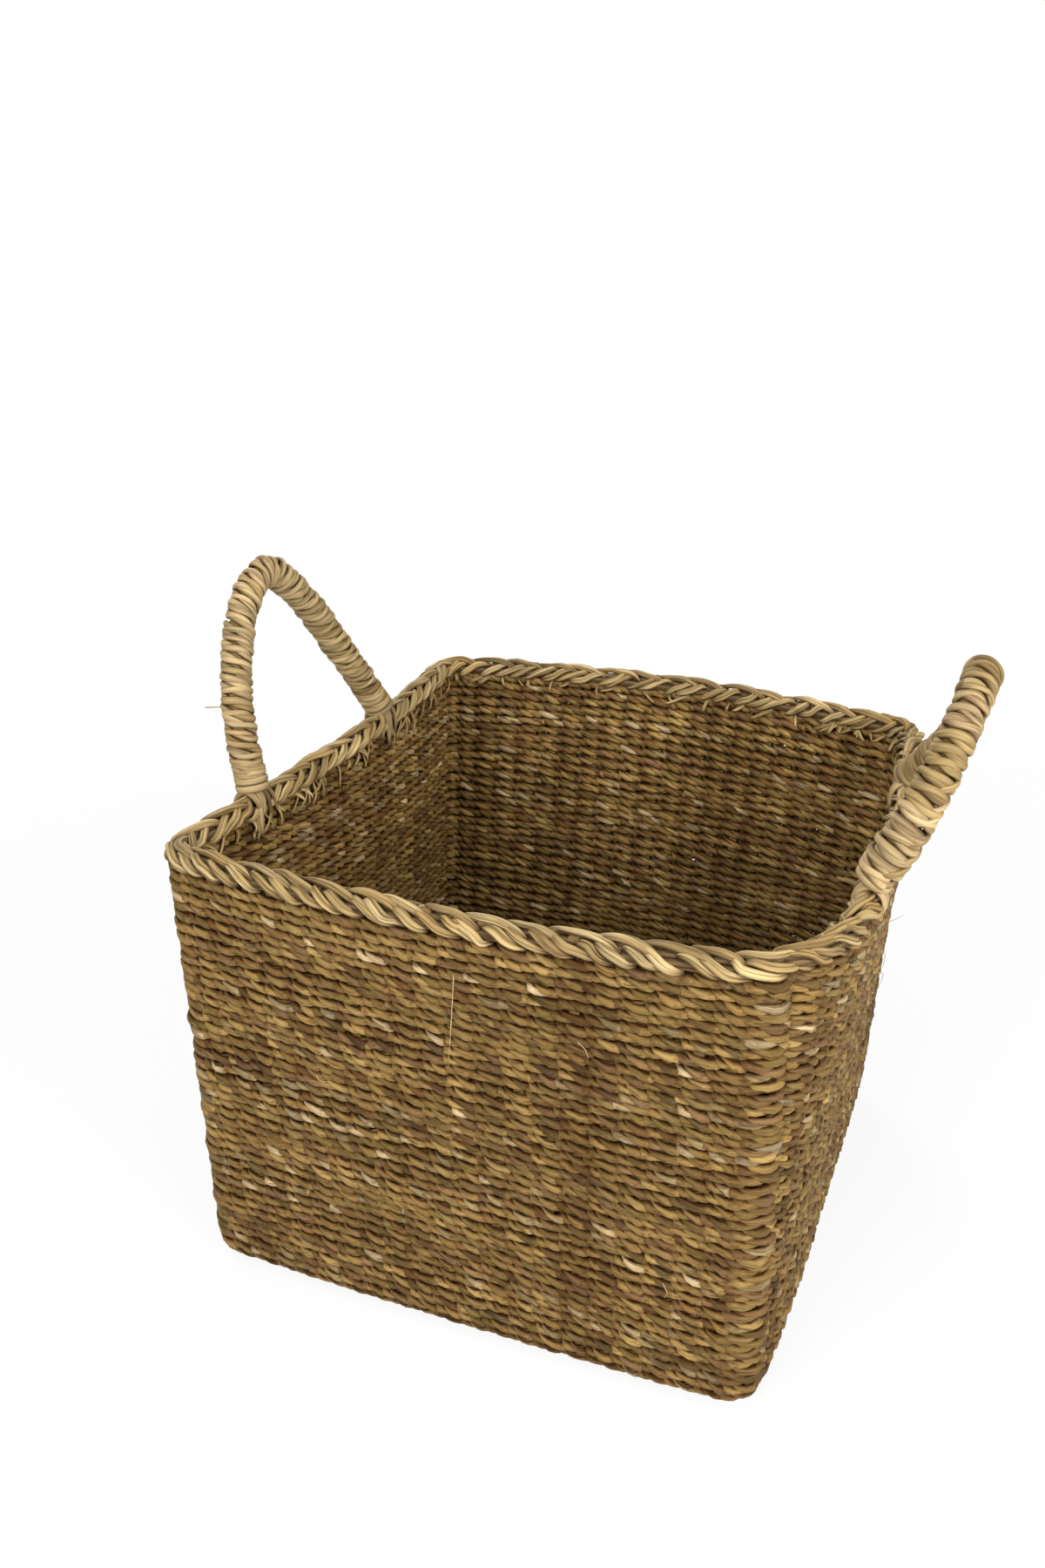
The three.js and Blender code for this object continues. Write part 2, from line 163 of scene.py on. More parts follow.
class Bench:
    """The node tree of one material or of the world."""

    def __init__(self, owner: bpy.types.Material | bpy.types.World) -> None:
        """Starts with an empty tree.

        Args:
            owner: What the nodes are for.
        """
        self.owner = owner
        self.owner.use_nodes = True
        self.tree = owner.node_tree
        self.tree.nodes.clear()

    def add(self, kind: str, settings: dict | None = None, values: dict | None = None) -> bpy.types.Node:
        """Adds a node.

        Args:
            kind: Type of the node.
            settings: Its own settings, set first; stops are the places and colours of a ramp.
            values: What goes into its sockets, by name or place: numbers or tones.

        Returns:
            The node.
        """
        node = self.tree.nodes.new(kind)
        for name, value in (settings or {}).items():
            if name == "stops":
                elements = node.color_ramp.elements
                while len(elements) < len(value):
                    elements.new(1)
                for element, (place, colour) in zip(elements, value):
                    element.position = place
                    element.color = (*colour, 1)
            else:
                setattr(node, name, value)
        for name, value in (values or {}).items():
            if isinstance(value, Tone):
                self.tree.links.new(value.socket, node.inputs[name])
            else:
                node.inputs[name].default_value = value
        return node

    def tone(self, node: bpy.types.Node, output: str | int = 0) -> Tone:
        """One output of a node."""
        return Tone(self, node.outputs[output])

    def maths(self, operation: str, first: Tone | float, second: Tone | float) -> Tone:
        """Adds a Math node on two values."""
        return self.tone(self.add("ShaderNodeMath", {"operation": operation}, {0: first, 1: second}))

    def limited(self, value: Tone) -> Tone:
        """The value kept from 0 to 1."""
        return self.tone(self.add("ShaderNodeClamp", None, {"Value": value}))

    def attribute(self, name: str, output: str) -> Tone:
        """One output of a mesh attribute."""
        return self.tone(self.add("ShaderNodeAttribute", {"attribute_name": name}), output)

    def stretched(self, vector: Tone, scale: Triple) -> Tone:
        """A vector times a scale for each axis."""
        return self.tone(self.add("ShaderNodeVectorMath", {"operation": "MULTIPLY"}, {0: vector, 1: scale}))

    def noise(self, vector: Tone, scale: float, detail: float, roughness: float = 0.5) -> Tone:
        """A noise value from 0 to 1 in the space of a vector."""
        values = {"Vector": vector, "Scale": scale, "Detail": detail, "Roughness": roughness}
        return self.tone(self.add("ShaderNodeTexNoise", None, values), "Fac")

    def fibrous(self, place: Tone, pattern: Quad, fineness: float = 1.0) -> Tone:
        """Noise along a strand.

        Args:
            place: Place in the strand.
            pattern: Scales along and across it, detail and roughness.
            fineness: Factor on the scale across.

        Returns:
            A value from 0 to 1.
        """
        along, across, detail, roughness = pattern
        stretched = self.stretched(place, (along, across * fineness, across * fineness))
        return self.noise(stretched, 1, detail, roughness)

    def ramp(self, value: Tone, stops: tuple) -> Tone:
        """A colour from a value."""
        return self.tone(self.add("ShaderNodeValToRGB", {"stops": stops}, {"Fac": value}), "Color")

    def mixed(self, first: Tone, second: Tone | tuple, factor: Tone | float, blend: str = "MIX") -> Tone:
        """Two colours mixed by a factor.

        Args:
            first: Colour at factor 0.
            second: Colour at factor 1, as a tone or as three numbers.
            factor: The factor.
            blend: How they are blended.

        Returns:
            The mixed colour.
        """
        settings = {"data_type": "RGBA", "blend_type": blend}
        second = second if isinstance(second, Tone) else (*second, 1)
        return self.tone(self.add("ShaderNodeMix", settings, {0: factor, 6: first, 7: second}), 2)

    def ended(self, kind: str, factor: Tone, first: bpy.types.Node, second: bpy.types.Node) -> None:
        """Ends the tree with two shaders mixed by a factor."""
        values = {0: factor, 1: self.tone(first), 2: self.tone(second)}
        self.add(kind, None, {"Surface": self.tone(self.add("ShaderNodeMixShader", None, values))})

    def finish(
        self, colour: Tone, roughness: Tone, height: Tone, depth: float, specular: float
    ) -> bpy.types.Material:
        """Ends the material with its shader.

        Args:
            colour: Base colour.
            roughness: Roughness.
            height: Height of the fine relief, from 0 to 1.
            depth: Depth of that relief in metres.
            specular: Specular level of the shader.

        Returns:
            The material.
        """
        bump = self.add("ShaderNodeBump", None, {"Strength": 1.0, "Distance": depth, "Height": height})
        values = {
            "Base Color": colour,
            "Roughness": roughness,
            "Specular IOR Level": specular,
            "Normal": self.tone(bump, "Normal"),
        }
        shader = self.add("ShaderNodeBsdfPrincipled", None, values)
        self.add("ShaderNodeOutputMaterial", None, {"Surface": self.tone(shader)})
        return self.owner


STRAW = (0.335, 0.218, 0.072)
KHAKI = (0.24, 0.143, 0.044)
OCHRE = (0.245, 0.145, 0.042)
OLIVE = (0.175, 0.113, 0.029)
RUSSET = (0.165, 0.082, 0.023)
PALE = (0.49, 0.36, 0.19)
MAUVE = (0.21, 0.122, 0.052)
REED = (0.33, 0.225, 0.087)
HONEY = (0.38, 0.25, 0.092)
RIPE = (0.43, 0.3, 0.123)
BLEACHED = (0.53, 0.395, 0.188)
ROSY = (0.5, 0.345, 0.178)
# Colour of painted shade, mixed in where strands dive under their neighbours, along their edges and in their
# creases.
CREVICE_SHADE = (0.04, 0.013, 0.002)
WHITE = (1, 1, 1, 1)

# Each pattern along a strand: its scales along and across it, its detail and its roughness.
FIBRES = (45, 1100, 3, 0.7)
CREASES = (22, 520, 2, 0.5)
PATCHES = (22, 60, 3, 0.6)


@dataclass(frozen=True)
class StrandFinish:
    """Dried seagrass strand: fibres along it, its own shade, and painted shade where it dives under its
    neighbours and in its creases.
    """

    name: str
    stops: tuple
    lightness: float = 1.0
    spread: float = 0.55
    # The next two set the strength of painted shade: where the strand dives, and in its creases.
    dive_shade: float = 0.75
    furrow_shade: float = 0.6
    relief: float = 0.4 * MM
    roughness: float = 0.62
    specular: float = 0.2
    fineness: float = 1.0
    stalk_share: float = 0.55
    patch_hue: float = 0.5
    patch_light: float = 0.5
    fibre_light: float = 1.7
    furrow_level: float = 0.45
    furrow_edge: float = 9
    dive_shade_power: float = 1.25
    fibre_roughness: float = 0.3
    dive_roughness: float = 0.15
    fibre_height: float = 0.45
    crease_height: float = 0.8

    def make(self) -> bpy.types.Material:
        """Makes the material from the strand's attributes.

        Returns:
            The material.
        """
        bench = Bench(bpy.data.materials.new(self.name))
        parts = bench.add("ShaderNodeSeparateColor", None, {"Color": bench.attribute("strand_mix", "Color")})
        shade, hue, grain = (bench.tone(parts, index) for index in range(3))
        dive = bench.attribute("strand_dive", "Fac")
        place = bench.attribute("fibre_place", "Vector")
        fibres = bench.fibrous(place, FIBRES, self.fineness)
        creases = bench.fibrous(place, CREASES, self.fineness)
        patches = bench.fibrous(place, PATCHES)
        colour = bench.ramp(bench.limited(hue + patches.swing(self.patch_hue)), self.stops)
        own = (shade * self.stalk_share + grain * (1 - self.stalk_share)).swing(self.spread)
        light = own + fibres.swing(self.fibre_light) + patches.swing(self.patch_light)
        level = (light + 1) * self.lightness
        bright = bench.tone(bench.add("ShaderNodeCombineColor", None, dict.fromkeys(range(3), level)))
        colour = bench.mixed(colour, bright, 1.0, "MULTIPLY")
        # Painted shade in the low creases of the fine relief.
        furrow = bench.limited((self.furrow_level - creases) * self.furrow_edge)
        colour = bench.mixed(colour, CREVICE_SHADE, furrow * self.furrow_shade)
        # Painted shade where the strand dives under its neighbours and along its edges and grooves.
        colour = bench.mixed(colour, CREVICE_SHADE, bench.limited((dive**self.dive_shade_power) * self.dive_shade))
        rough = self.roughness + fibres.swing(self.fibre_roughness) + dive * self.dive_roughness
        height = fibres * self.fibre_height + creases * self.crease_height
        return bench.finish(colour, bench.limited(rough), height, self.relief, self.specular)


@dataclass(frozen=True)
class StalkFinish:
    """Bundle of stalks seen between the strands: dull, with fibres along it."""

    name: str
    stops: tuple
    stretch: Triple
    fibre_noise: Pair = (4, 0.65)
    patch_noise: Pair = (14, 3)
    fibre_hue: float = 0.9
    roughness: float = 0.7
    fibre_roughness: float = 0.3
    relief: float = 0.4 * MM
    specular: float = 0.3

    def make(self) -> bpy.types.Material:
        """Makes the material from the piece's own space.

        Returns:
            The material.
        """
        bench = Bench(bpy.data.materials.new(self.name))
        place = bench.tone(bench.add("ShaderNodeTexCoord"), "Object")
        fibres = bench.noise(bench.stretched(place, self.stretch), 1, *self.fibre_noise)
        patches = bench.noise(place, *self.patch_noise)
        colour = bench.ramp(bench.limited(patches + fibres.swing(self.fibre_hue)), self.stops)
        rough = bench.limited(self.roughness + fibres.swing(self.fibre_roughness))
        return bench.finish(colour, rough, fibres, self.relief, self.specular)


WALL_STOPS = (
    (0.0, PALE), (0.12, OLIVE), (0.28, KHAKI), (0.45, STRAW),
    (0.6, KHAKI), (0.74, OCHRE), (0.87, MAUVE), (1.0, RUSSET),
)
BORDER_STOPS = ((0.0, REED), (0.3, RIPE), (0.55, BLEACHED), (0.8, RIPE), (1.0, HONEY))
WRAP_STOPS = ((0.0, REED), (0.2, RIPE), (0.5, ROSY), (0.8, BLEACHED), (1.0, RIPE))


class Finish(Enum):
    """The finishes of the basket's pieces."""

    WALL = StrandFinish("wall_strands", WALL_STOPS, lightness=0.79, spread=1.15, dive_shade=1.15, specular=0.1)
    BORDER = StrandFinish(
        "border_strands", BORDER_STOPS, lightness=0.94, spread=0.6, dive_shade=0.95, relief=0.3 * MM,
    )
    WRAP = StrandFinish(
        "handle_strands", WRAP_STOPS,
        lightness=0.79, spread=0.5, dive_shade=0.9, furrow_shade=0.4, relief=0.2 * MM, fineness=0.6,
    )
    UPRIGHT = StalkFinish("upright_stalks", ((0.25, OLIVE), (0.55, KHAKI), (0.8, OCHRE)), (900, 900, 50))
    CORE = StalkFinish("core_stalks", ((0.25, OLIVE), (0.55, KHAKI), (0.8, STRAW)), (700, 200, 700))


class Materials:
    """Makes each finish once."""

    def __init__(self) -> None:
        """Starts with none made."""
        self.made: dict[Finish, bpy.types.Material] = {}

    def get(self, finish: Finish) -> bpy.types.Material:
        """The material of a finish."""
        if finish not in self.made:
            self.made[finish] = finish.value.make()
        return self.made[finish]


ROUND = (1.0,) * 6
FULL = (1.0,) * 8
CREASED = (1.0, 1.0, 0.84, 1.0, 1.0, 1.0, 0.84, 1.0)


@dataclass
class StrandBatch:
    """Gathers strands as rings of points and makes one mesh of them."""

    name: str
    section: tuple[float, ...]
    # Painted shade along each strand's edges, where rows meet, and in the grooves of its section.
    edge_shade: float = 0.6
    groove_shade: float = 1.5
    rings: list[np.ndarray] = field(default_factory=list)
    places: list[np.ndarray] = field(default_factory=list)
    mixes: list[np.ndarray] = field(default_factory=list)
    dives: list[np.ndarray] = field(default_factory=list)

    @property
    def sides(self) -> int:
        """Sides of each strand's section."""
        return len(self.section)

    def add(
        self,
        centres: np.ndarray,
        outward: np.ndarray,
        wide: Values,
        thick: Values,
        mix: np.ndarray,
        dive: Values = 0.0,
        start: float = 0.0,
        roll: Values = 0.0,
        ahead: np.ndarray | None = None,
    ) -> None:
        """Adds one strand.

        Args:
            centres: Its centre line, one row a point.
            outward: The way its flat side faces, for all points or one row a point.
            wide: Half of its width across the flat side.
            thick: Half of its thickness.
            mix: Shade, hue and grain, one row for the strand or one for each point.
            dive: How deep each point lies under its neighbours, from 0 to 1, which paints it in shade.
            start: Length of strand before its first point, so that no two look alike.
            roll: Angle by which the section is turned at each point.
            ahead: The way that each section faces, or none to follow the centre line.
        """
        count = len(centres)
        along = tangents(centres) if ahead is None else ahead
        across = unit(np.cross(along, outward))
        facing = np.cross(across, along)
        angle = column(roll, count) + np.arange(self.sides) * (FULL_TURN / self.sides)
        size = np.array(self.section)
        aside = np.cos(angle) * size * column(wide, count)
        above = np.sin(angle) * size * column(thick, count)
        ring = centres[:, None, :] + across[:, None, :] * aside[:, :, None]
        ring = ring + facing[:, None, :] * above[:, :, None]
        length = np.broadcast_to((run_lengths(centres) + start)[:, None], aside.shape)
        # Painted shade along the two edges of the section and in its grooves.
        edge = self.edge_shade * np.cos(angle) ** 4 + (1 - size) * self.groove_shade
        own = np.broadcast_to(mix, (count, 3))[:, None, :]
        self.rings.append(ring)
        self.places.append(np.stack([length, aside, above + start], axis=-1))
        self.mixes.append(np.broadcast_to(own, (count, self.sides, 3)))
        self.dives.append(np.clip(column(dive, count) + edge, 0, 1))

    def quads(self, offset: int, count: int) -> np.ndarray:
        """Four-cornered faces between the rings of one strand.

        Args:
            offset: Number of the strand's first corner in the mesh.
            count: Rings of the strand.

        Returns:
            Numbers of the corners, one row for each face.
        """
        ring = np.arange(count - 1)[:, None] * self.sides + offset
        ahead = ring + self.sides
        side = np.arange(self.sides)[None, :]
        following = (side + 1) % self.sides
        faces = np.stack([ring + side, ring + following, ahead + following, ahead + side], axis=-1)
        return faces.reshape(-1, 4)

    def build(self, material: bpy.types.Material) -> bpy.types.Object:
        """Makes the object.

        Args:
            material: The strands' material.

        Returns:
            The new object, linked to the scene and riding on the basket.
        """
        counts = np.array([len(ring) for ring in self.rings])
        offsets = (np.cumsum(counts) - counts) * self.sides
        ends = offsets + (counts - 1) * self.sides
        side = np.arange(self.sides)
        quads = np.concatenate([self.quads(offset, count) for offset, count in zip(offsets, counts)])
        caps = np.concatenate([offsets[:, None] + side[::-1], ends[:, None] + side])
        corners = np.concatenate([quads.ravel(), caps.ravel()])
        sizes = np.concatenate([np.full(len(quads), 4), np.full(len(caps), self.sides)])
        points = stacked(self.rings)
        mixes = stacked(self.mixes)
        mesh = bpy.data.meshes.new(self.name)
        mesh.vertices.add(len(points))
        mesh.vertices.foreach_set("co", points.astype(np.float32).ravel())
        mesh.loops.add(len(corners))
        mesh.loops.foreach_set("vertex_index", corners.astype(np.int32))
        mesh.polygons.add(len(sizes))
        mesh.polygons.foreach_set("loop_start", (np.cumsum(sizes) - sizes).astype(np.int32))
        mesh.polygons.foreach_set("use_smooth", np.ones(len(sizes), dtype=bool))
        mesh.update(calc_edges=True)
        for name, kind, key, values in (
            ("fibre_place", "FLOAT_VECTOR", "vector", stacked(self.places)),
            ("strand_mix", "FLOAT_COLOR", "color", np.column_stack([mixes, np.ones(len(mixes))])),
            ("strand_dive", "FLOAT", "value", np.concatenate([dive.ravel() for dive in self.dives])),
        ):
            layer = mesh.attributes.new(name, kind, "POINT")
            layer.data.foreach_set(key, values.astype(np.float32).ravel())
        mesh.materials.append(material)
        made = bpy.data.objects.new(self.name, mesh)
        bpy.context.scene.collection.objects.link(made)
        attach(made, BODY)
        return made


@dataclass(frozen=True)
class Plan:
    """Outline of the wall's outer face at one height."""

    width: float
    depth: float
    corner: float
    bows: Quad
    drift: float


@dataclass(frozen=True)
class BasketForm:
    """The basket's shape: the plans of its wall, and the places in and on it."""

    wall_height: float = 316 * MM
    border_height: float = 20 * MM
    wall_thickness: float = 15 * MM
    floor_thickness: float = 19.5 * MM
    inner_edge_radius: float = 1.5 * MM
    corner_margin: float = 2 * MM
    corner_reach: float = 0.6
    stake_width: float = 6 * MM
    stakes: int = 20
    base: Plan = Plan(400 * MM, 393 * MM, 24 * MM, (3 * MM,) * 4, 0.0)
    middle: Plan = Plan(401 * MM, 399 * MM, 23.5 * MM, (1 * MM, 10 * MM, 9 * MM, -8 * MM), 0.5)
    rim: Plan = Plan(402 * MM, 405 * MM, 23 * MM, (7 * MM, 28 * MM, 23 * MM, -12 * MM), 1.0)
    back_right: Pair = (18 * MM, -7 * MM)
    back_left: Pair = (-6 * MM, 12 * MM)
    peak_shares: Quad = (0.5, 0.3, 0.5, 0.5)
    least_share: float = 1e-9
    near: float = 0.05
    front_dip: float = 4.5 * MM

    @property
    def edge_radius(self) -> float:
        """Radius of the rounded bottom edge, outside."""
        return self.floor_thickness + self.inner_edge_radius

    @property
    def bend_length(self) -> float:
        """Length of the bottom edge's bend along the middle of the wall."""
        return (self.edge_radius - self.wall_thickness / 2) * HALF_TURN / 2

    @property
    def run_length(self) -> float:
        """Length from the floor's edge to the top of the wall."""
        return self.bend_length + self.wall_height - self.edge_radius

    @property
    def stitches(self) -> int:
        """Stitches in one course: one at each stake and one at each corner."""
        return SIDES * (self.stakes + 1)

    def stake_shares(self, side: int) -> np.ndarray:
        """Places of the stakes along one side.

        Args:
            side: The side, from 0 in front round to 3 at the left.

        Returns:
            Shares of the side's straight length.
        """
        length = (self.rim.width if side % 2 == 0 else self.rim.depth) - 2 * self.rim.corner
        first = self.corner_margin + self.stake_width / 2
        return (first + np.arange(self.stakes) * (length - 2 * first) / (self.stakes - 1)) / length

    def turns(self, stitch: np.ndarray) -> np.ndarray:
        """Places round the outline at counts of stitches.

        Args:
            stitch: Stitches from the first stake in front.

        Returns:
            Places that grow by 2 over each side and its corner.
        """
        knots, places = [], []
        for side in range(SIDES):
            first = side * (self.stakes + 1)
            corner = first + self.stakes
            knots += [*range(first, corner), corner - self.corner_reach, corner, corner + self.corner_reach]
            places += [*(2 * side + self.stake_shares(side)), 2 * side + 1, 2 * side + 1.5, 2 * side + 2]
        knots = np.array([knots[-1] - self.stitches, *knots, self.stitches])
        places = np.array([0.0, *places, TURNS + places[0]])
        whole = np.floor(stitch / self.stitches)
        return np.interp(stitch - whole * self.stitches, knots, places) % TURNS

    def outline(self, plan: Plan, turn: np.ndarray, inset: Values) -> np.ndarray:
        """Points on one plan, set in from its outline.

        Args:
            plan: The plan.
            turn: Places round the outline.
            inset: Distances in from it.

        Returns:
            Points in the plane, one row each.
        """
        side = np.floor(turn / 2).astype(int) % SIDES
        local = turn - 2 * np.floor(turn / 2)
        share = np.clip(local, self.least_share, 1)
        angle = np.clip(local - 1, 0, 1) * HALF_TURN / 2
        along = np.array([(1, 0), (0, 1), (-1, 0), (0, -1)], float)[side]
        out = np.array([(0, -1), (1, 0), (0, 1), (-1, 0)], float)[side]
        even = side % 2 == 0
        half = np.where(even, plan.width, plan.depth) / 2
        reach = np.where(even, plan.depth, plan.width) / 2
        bow_place = share ** (math.log(0.5) / np.log(np.array(self.peak_shares)[side]))
        bow = np.array(plan.bows)[side] * 4 * bow_place * (1 - bow_place)
        radius = plan.corner - inset
        ahead = (2 * share - 1) * (half - plan.corner) + radius * np.sin(angle)
        away = reach - plan.corner + radius * np.cos(angle) + bow
        point = along * ahead[:, None] + out * away[:, None]
        right = point[:, 0] / plan.width + 0.5
        back = (point[:, 1] / plan.depth + 0.5) * plan.drift
        shift_x = back * (right * self.back_right[0] - (1 - right) * self.back_left[0])
        shift_y = back * (right * self.back_right[1] + (1 - right) * self.back_left[1])
        return point + np.column_stack([shift_x, shift_y])

    def place(self, stitch: np.ndarray, run: Values, depth: Values) -> np.ndarray:
        """Points in the wall.

        Args:
            stitch: Places round the basket, in stitches.
            run: Lengths from the floor's edge round the bend and up the wall.
            depth: Depths in from the wall's outer face.

        Returns:
            Points, one row each.
        """
        stitch, run, depth = np.broadcast_arrays(np.asarray(stitch, float), run, depth)
        angle = np.clip(1 - run / self.bend_length, 0, 1) * HALF_TURN / 2
        floor_depth = depth * self.floor_thickness / self.wall_thickness
        inset = self.edge_radius - (self.edge_radius - depth) * np.cos(angle) - np.minimum(run, 0)
        bent_depth = lerp(depth, floor_depth, np.sin(angle))
        bent = self.edge_radius - (self.edge_radius - bent_depth) * np.sin(angle)
        z = bent + np.maximum(run - self.bend_length, 0)
        height = np.where(run < self.bend_length, self.edge_radius * (1 - np.sin(angle)), z)
        level = np.clip(height / self.wall_height, 0, 1)
        turn = self.turns(stitch)
        weights = ((1 - level) * (1 - 2 * level), 4 * level * (1 - level), level * (2 * level - 1))
        plans = (self.base, self.middle, self.rim)
        flat = sum(weight[:, None] * self.outline(plan, turn, inset) for weight, plan in zip(weights, plans))
        share = np.clip(turn, 0, 1)
        dip = self.front_dip * 4 * share * (1 - share) * level**2
        return np.column_stack([flat, z - dip])

    def outward(self, stitch: np.ndarray, run: Values) -> np.ndarray:
        """Unit vectors out of the wall at its middle."""
        middle = self.wall_thickness / 2
        return unit(self.place(stitch, run, middle - MM) - self.place(stitch, run, middle + MM))

    def onward(self, stitch: np.ndarray, run: Values) -> np.ndarray:
        """Ways along the wall's courses at its middle.

        Args:
            stitch: Places round the basket, in stitches.
            run: Lengths up the wall.

        Returns:
            Unit vectors, one row each.
        """
        middle = self.wall_thickness / 2
        after, before = (self.place(stitch + step, run, middle) for step in (self.near, -self.near))
        return unit(after - before)

    def rim_line(self, line: np.ndarray) -> tuple[np.ndarray, np.ndarray]:
        """Points in the border and the ways out of it, from rows of stitch and of depth and height in mm."""
        centres = self.place(line[:, 0], self.run_length + line[:, 2] * MM, line[:, 1] * MM)
        return centres, self.outward(line[:, 0], self.run_length)


class Chance:
    """Seeded unevenness of hand work."""

    def __init__(self, seed: int) -> None:
        """Starts a sequence of its own."""
        self.rng = np.random.default_rng(seed)

    def along(self, place: np.ndarray, amount: float) -> np.ndarray:
        """A value that wanders from whole place to whole place.

        Args:
            place: Places along a strand, in stitches.
            amount: Its spread.

        Returns:
            One value for each place.
        """
        first = math.floor(place.min())
        values = self.rng.normal(0, amount, math.ceil(place.max()) - first + 2)
        return np.interp(place - first, np.arange(len(values)), values)

    def mix(self) -> np.ndarray:
        """Shade, hue and grain of one strand."""
        return self.rng.uniform(0, 1, 3)

    def start(self) -> float:
        """Length of strand before a strand's first point."""
        return self.rng.uniform(0, LONGEST_START)

    def spliced(self, place: np.ndarray, shortest: int, longest: int) -> np.ndarray:
        """Shades along a strand that is spliced from shorter stalks.

        Args:
            place: Places along it, in stitches.
            shortest: Fewest stitches of one stalk.
            longest: Most stitches of one stalk.

        Returns:
            Shade, hue and grain, one row for each place.
        """
        first = math.floor(place.min())
        count = math.ceil(place.max()) - first + 2
        ends = np.cumsum(self.rng.integers(shortest, longest, count // shortest + 2))
        stalks = self.rng.uniform(0, 1, (len(ends) + 1, 2))
        grains = self.rng.uniform(0, 1, count)
        whole = np.round(place - first).astype(int)
        stalk = np.searchsorted(ends, whole, side="right")
        return np.column_stack([stalks[stalk], grains[np.minimum(whole, count - 1)]])


@dataclass(frozen=True)
class Twining:
    """How each of two strands swings from face to face as it passes stake after stake."""

    thickness: float
    body: float = 5.4 * MM
    bulge: float = 0.9 * MM
    crossing: Pair = (0.5, 0.8)
    wide: Pair = (3.8 * MM, 3.6 * MM)
    rise: float = 0.85 * MM
    lead: float = 0.12
    quickening: float = 0.42
    apart: Pair = (0.38, 0.42)
    ply_wide: Pair = (0.6, 0.92)
    ply_thick: float = 0.62
    ply_spread: float = 0.1
    ply_start: float = 3.0
    splices: tuple[int, int] = (2, 12)
    shadow: float = 0.27

    def away(self, place: np.ndarray) -> np.ndarray:
        """Distance from the stake that a strand passes outside, 1 at the stake it passes inside."""
        return np.abs((place + 1) % 2 - 1)

    def skin(self, away: np.ndarray) -> np.ndarray:
        """How deep a strand's outer side lies.

        Args:
            away: Distance from the stake that it passes outside.

        Returns:
            Depths under the outer face.
        """
        start, end = self.crossing
        sunk = np.clip((away - start) / (end - start), 0, 1)
        return self.bulge * away**2 + (self.thickness - self.body - self.bulge) * sunk**2 * (3 - 2 * sunk)

    def sizes(self, place: np.ndarray) -> tuple[np.ndarray, np.ndarray, np.ndarray]:
        """Depth and size of a strand.

        Args:
            place: Places along it, in stitches.

        Returns:
            Depths of its middle, its half widths and its half thicknesses.
        """
        away = self.away(place)
        outer, inner = self.skin(away), self.thickness - self.skin(1 - away)
        wide = lerp(*self.wide, np.sin(HALF_TURN * away) ** 2)
        return (outer + inner) / 2, wide, (inner - outer) / 2

    def roll(self, stitch: np.ndarray) -> np.ndarray:
        """Angle of a strand's own twist, quickest where its two plies lie side by side."""
        place = stitch + self.lead
        return -HALF_TURN * place - self.quickening * np.sin(FULL_TURN * place)

    def plies(
        self,
        batch: StrandBatch,
        centres: np.ndarray,
        outward: np.ndarray,
        ahead: np.ndarray,
        halves: tuple[np.ndarray, np.ndarray],
        roll: np.ndarray,
        chance: Chance,
        place: np.ndarray,
        sunk: Values = 0.0,
        paler: Values = 0.0,
    ) -> None:
        """Adds one strand as two plies twisted round each other.

        Args:
            batch: Where they go.
            centres: The strand's centre line.
            outward: The way its outer side faces.
            ahead: The way along its row.
            halves: Half widths and half thicknesses of the strand.
            roll: Angle of the twist at each point.
            chance: Its unevenness.
            place: Places along it, in stitches.
            sunk: How far each point lies back from its neighbours, from 0 to 1.
            paler: What is added to its shade at each point, as painted light and shade.
        """
        across = unit(np.cross(ahead, outward))
        dive = self.shadow * (np.abs(np.sin(place * HALF_TURN)) ** 4 + sunk)
        for ply in range(2):
            angle = roll + ply * HALF_TURN
            aside = np.cos(angle) * halves[0] * self.apart[0]
            above = np.sin(angle) * halves[1] * self.apart[1]
            line = centres + across * aside[:, None] + outward * above[:, None]
            fill = (1 + chance.along(place, self.ply_spread)) * lerp(*self.ply_wide, np.sin(angle) ** 2)
            size = (halves[0] * fill, halves[1] * self.ply_thick)
            mix = chance.spliced(place, *self.splices)
            mix[:, 0] += paler
            batch.add(line, outward, *size, mix, dive, ply * self.ply_start, ahead=ahead)


# Each key of a loose fibre: stitches round the basket, run up the wall and depth in it, both in millimetres.
LOOSE_FIBRES = (
    ((10.05, 293, 0.4), (9.95, 272, -0.7), (9.78, 245, -0.7), (9.6, 222, 0.4)),
    ((31.4, 253, 1), (31.5, 255, -4), (31.8, 257, -9)),
    ((30.5, 240, 1), (30.6, 237, -4), (30.7, 226, -5)),
    ((30.4, 223, 1), (30.6, 222, -6), (30.6, 213, -6)),
    ((20.6, 135, 1), (20.8, 131, -3), (20.7, 123, -3)),
    ((14.2, 262, 0.6), (14.5, 259, -1.5), (14.6, 253, -1.2)),
    ((4.3, 190, 0.6), (4.6, 188, -2), (5.0, 189, -1.4)),
    ((17.2, 96, 0.6), (17.4, 92, -2.5), (17.3, 87, -2)),
)


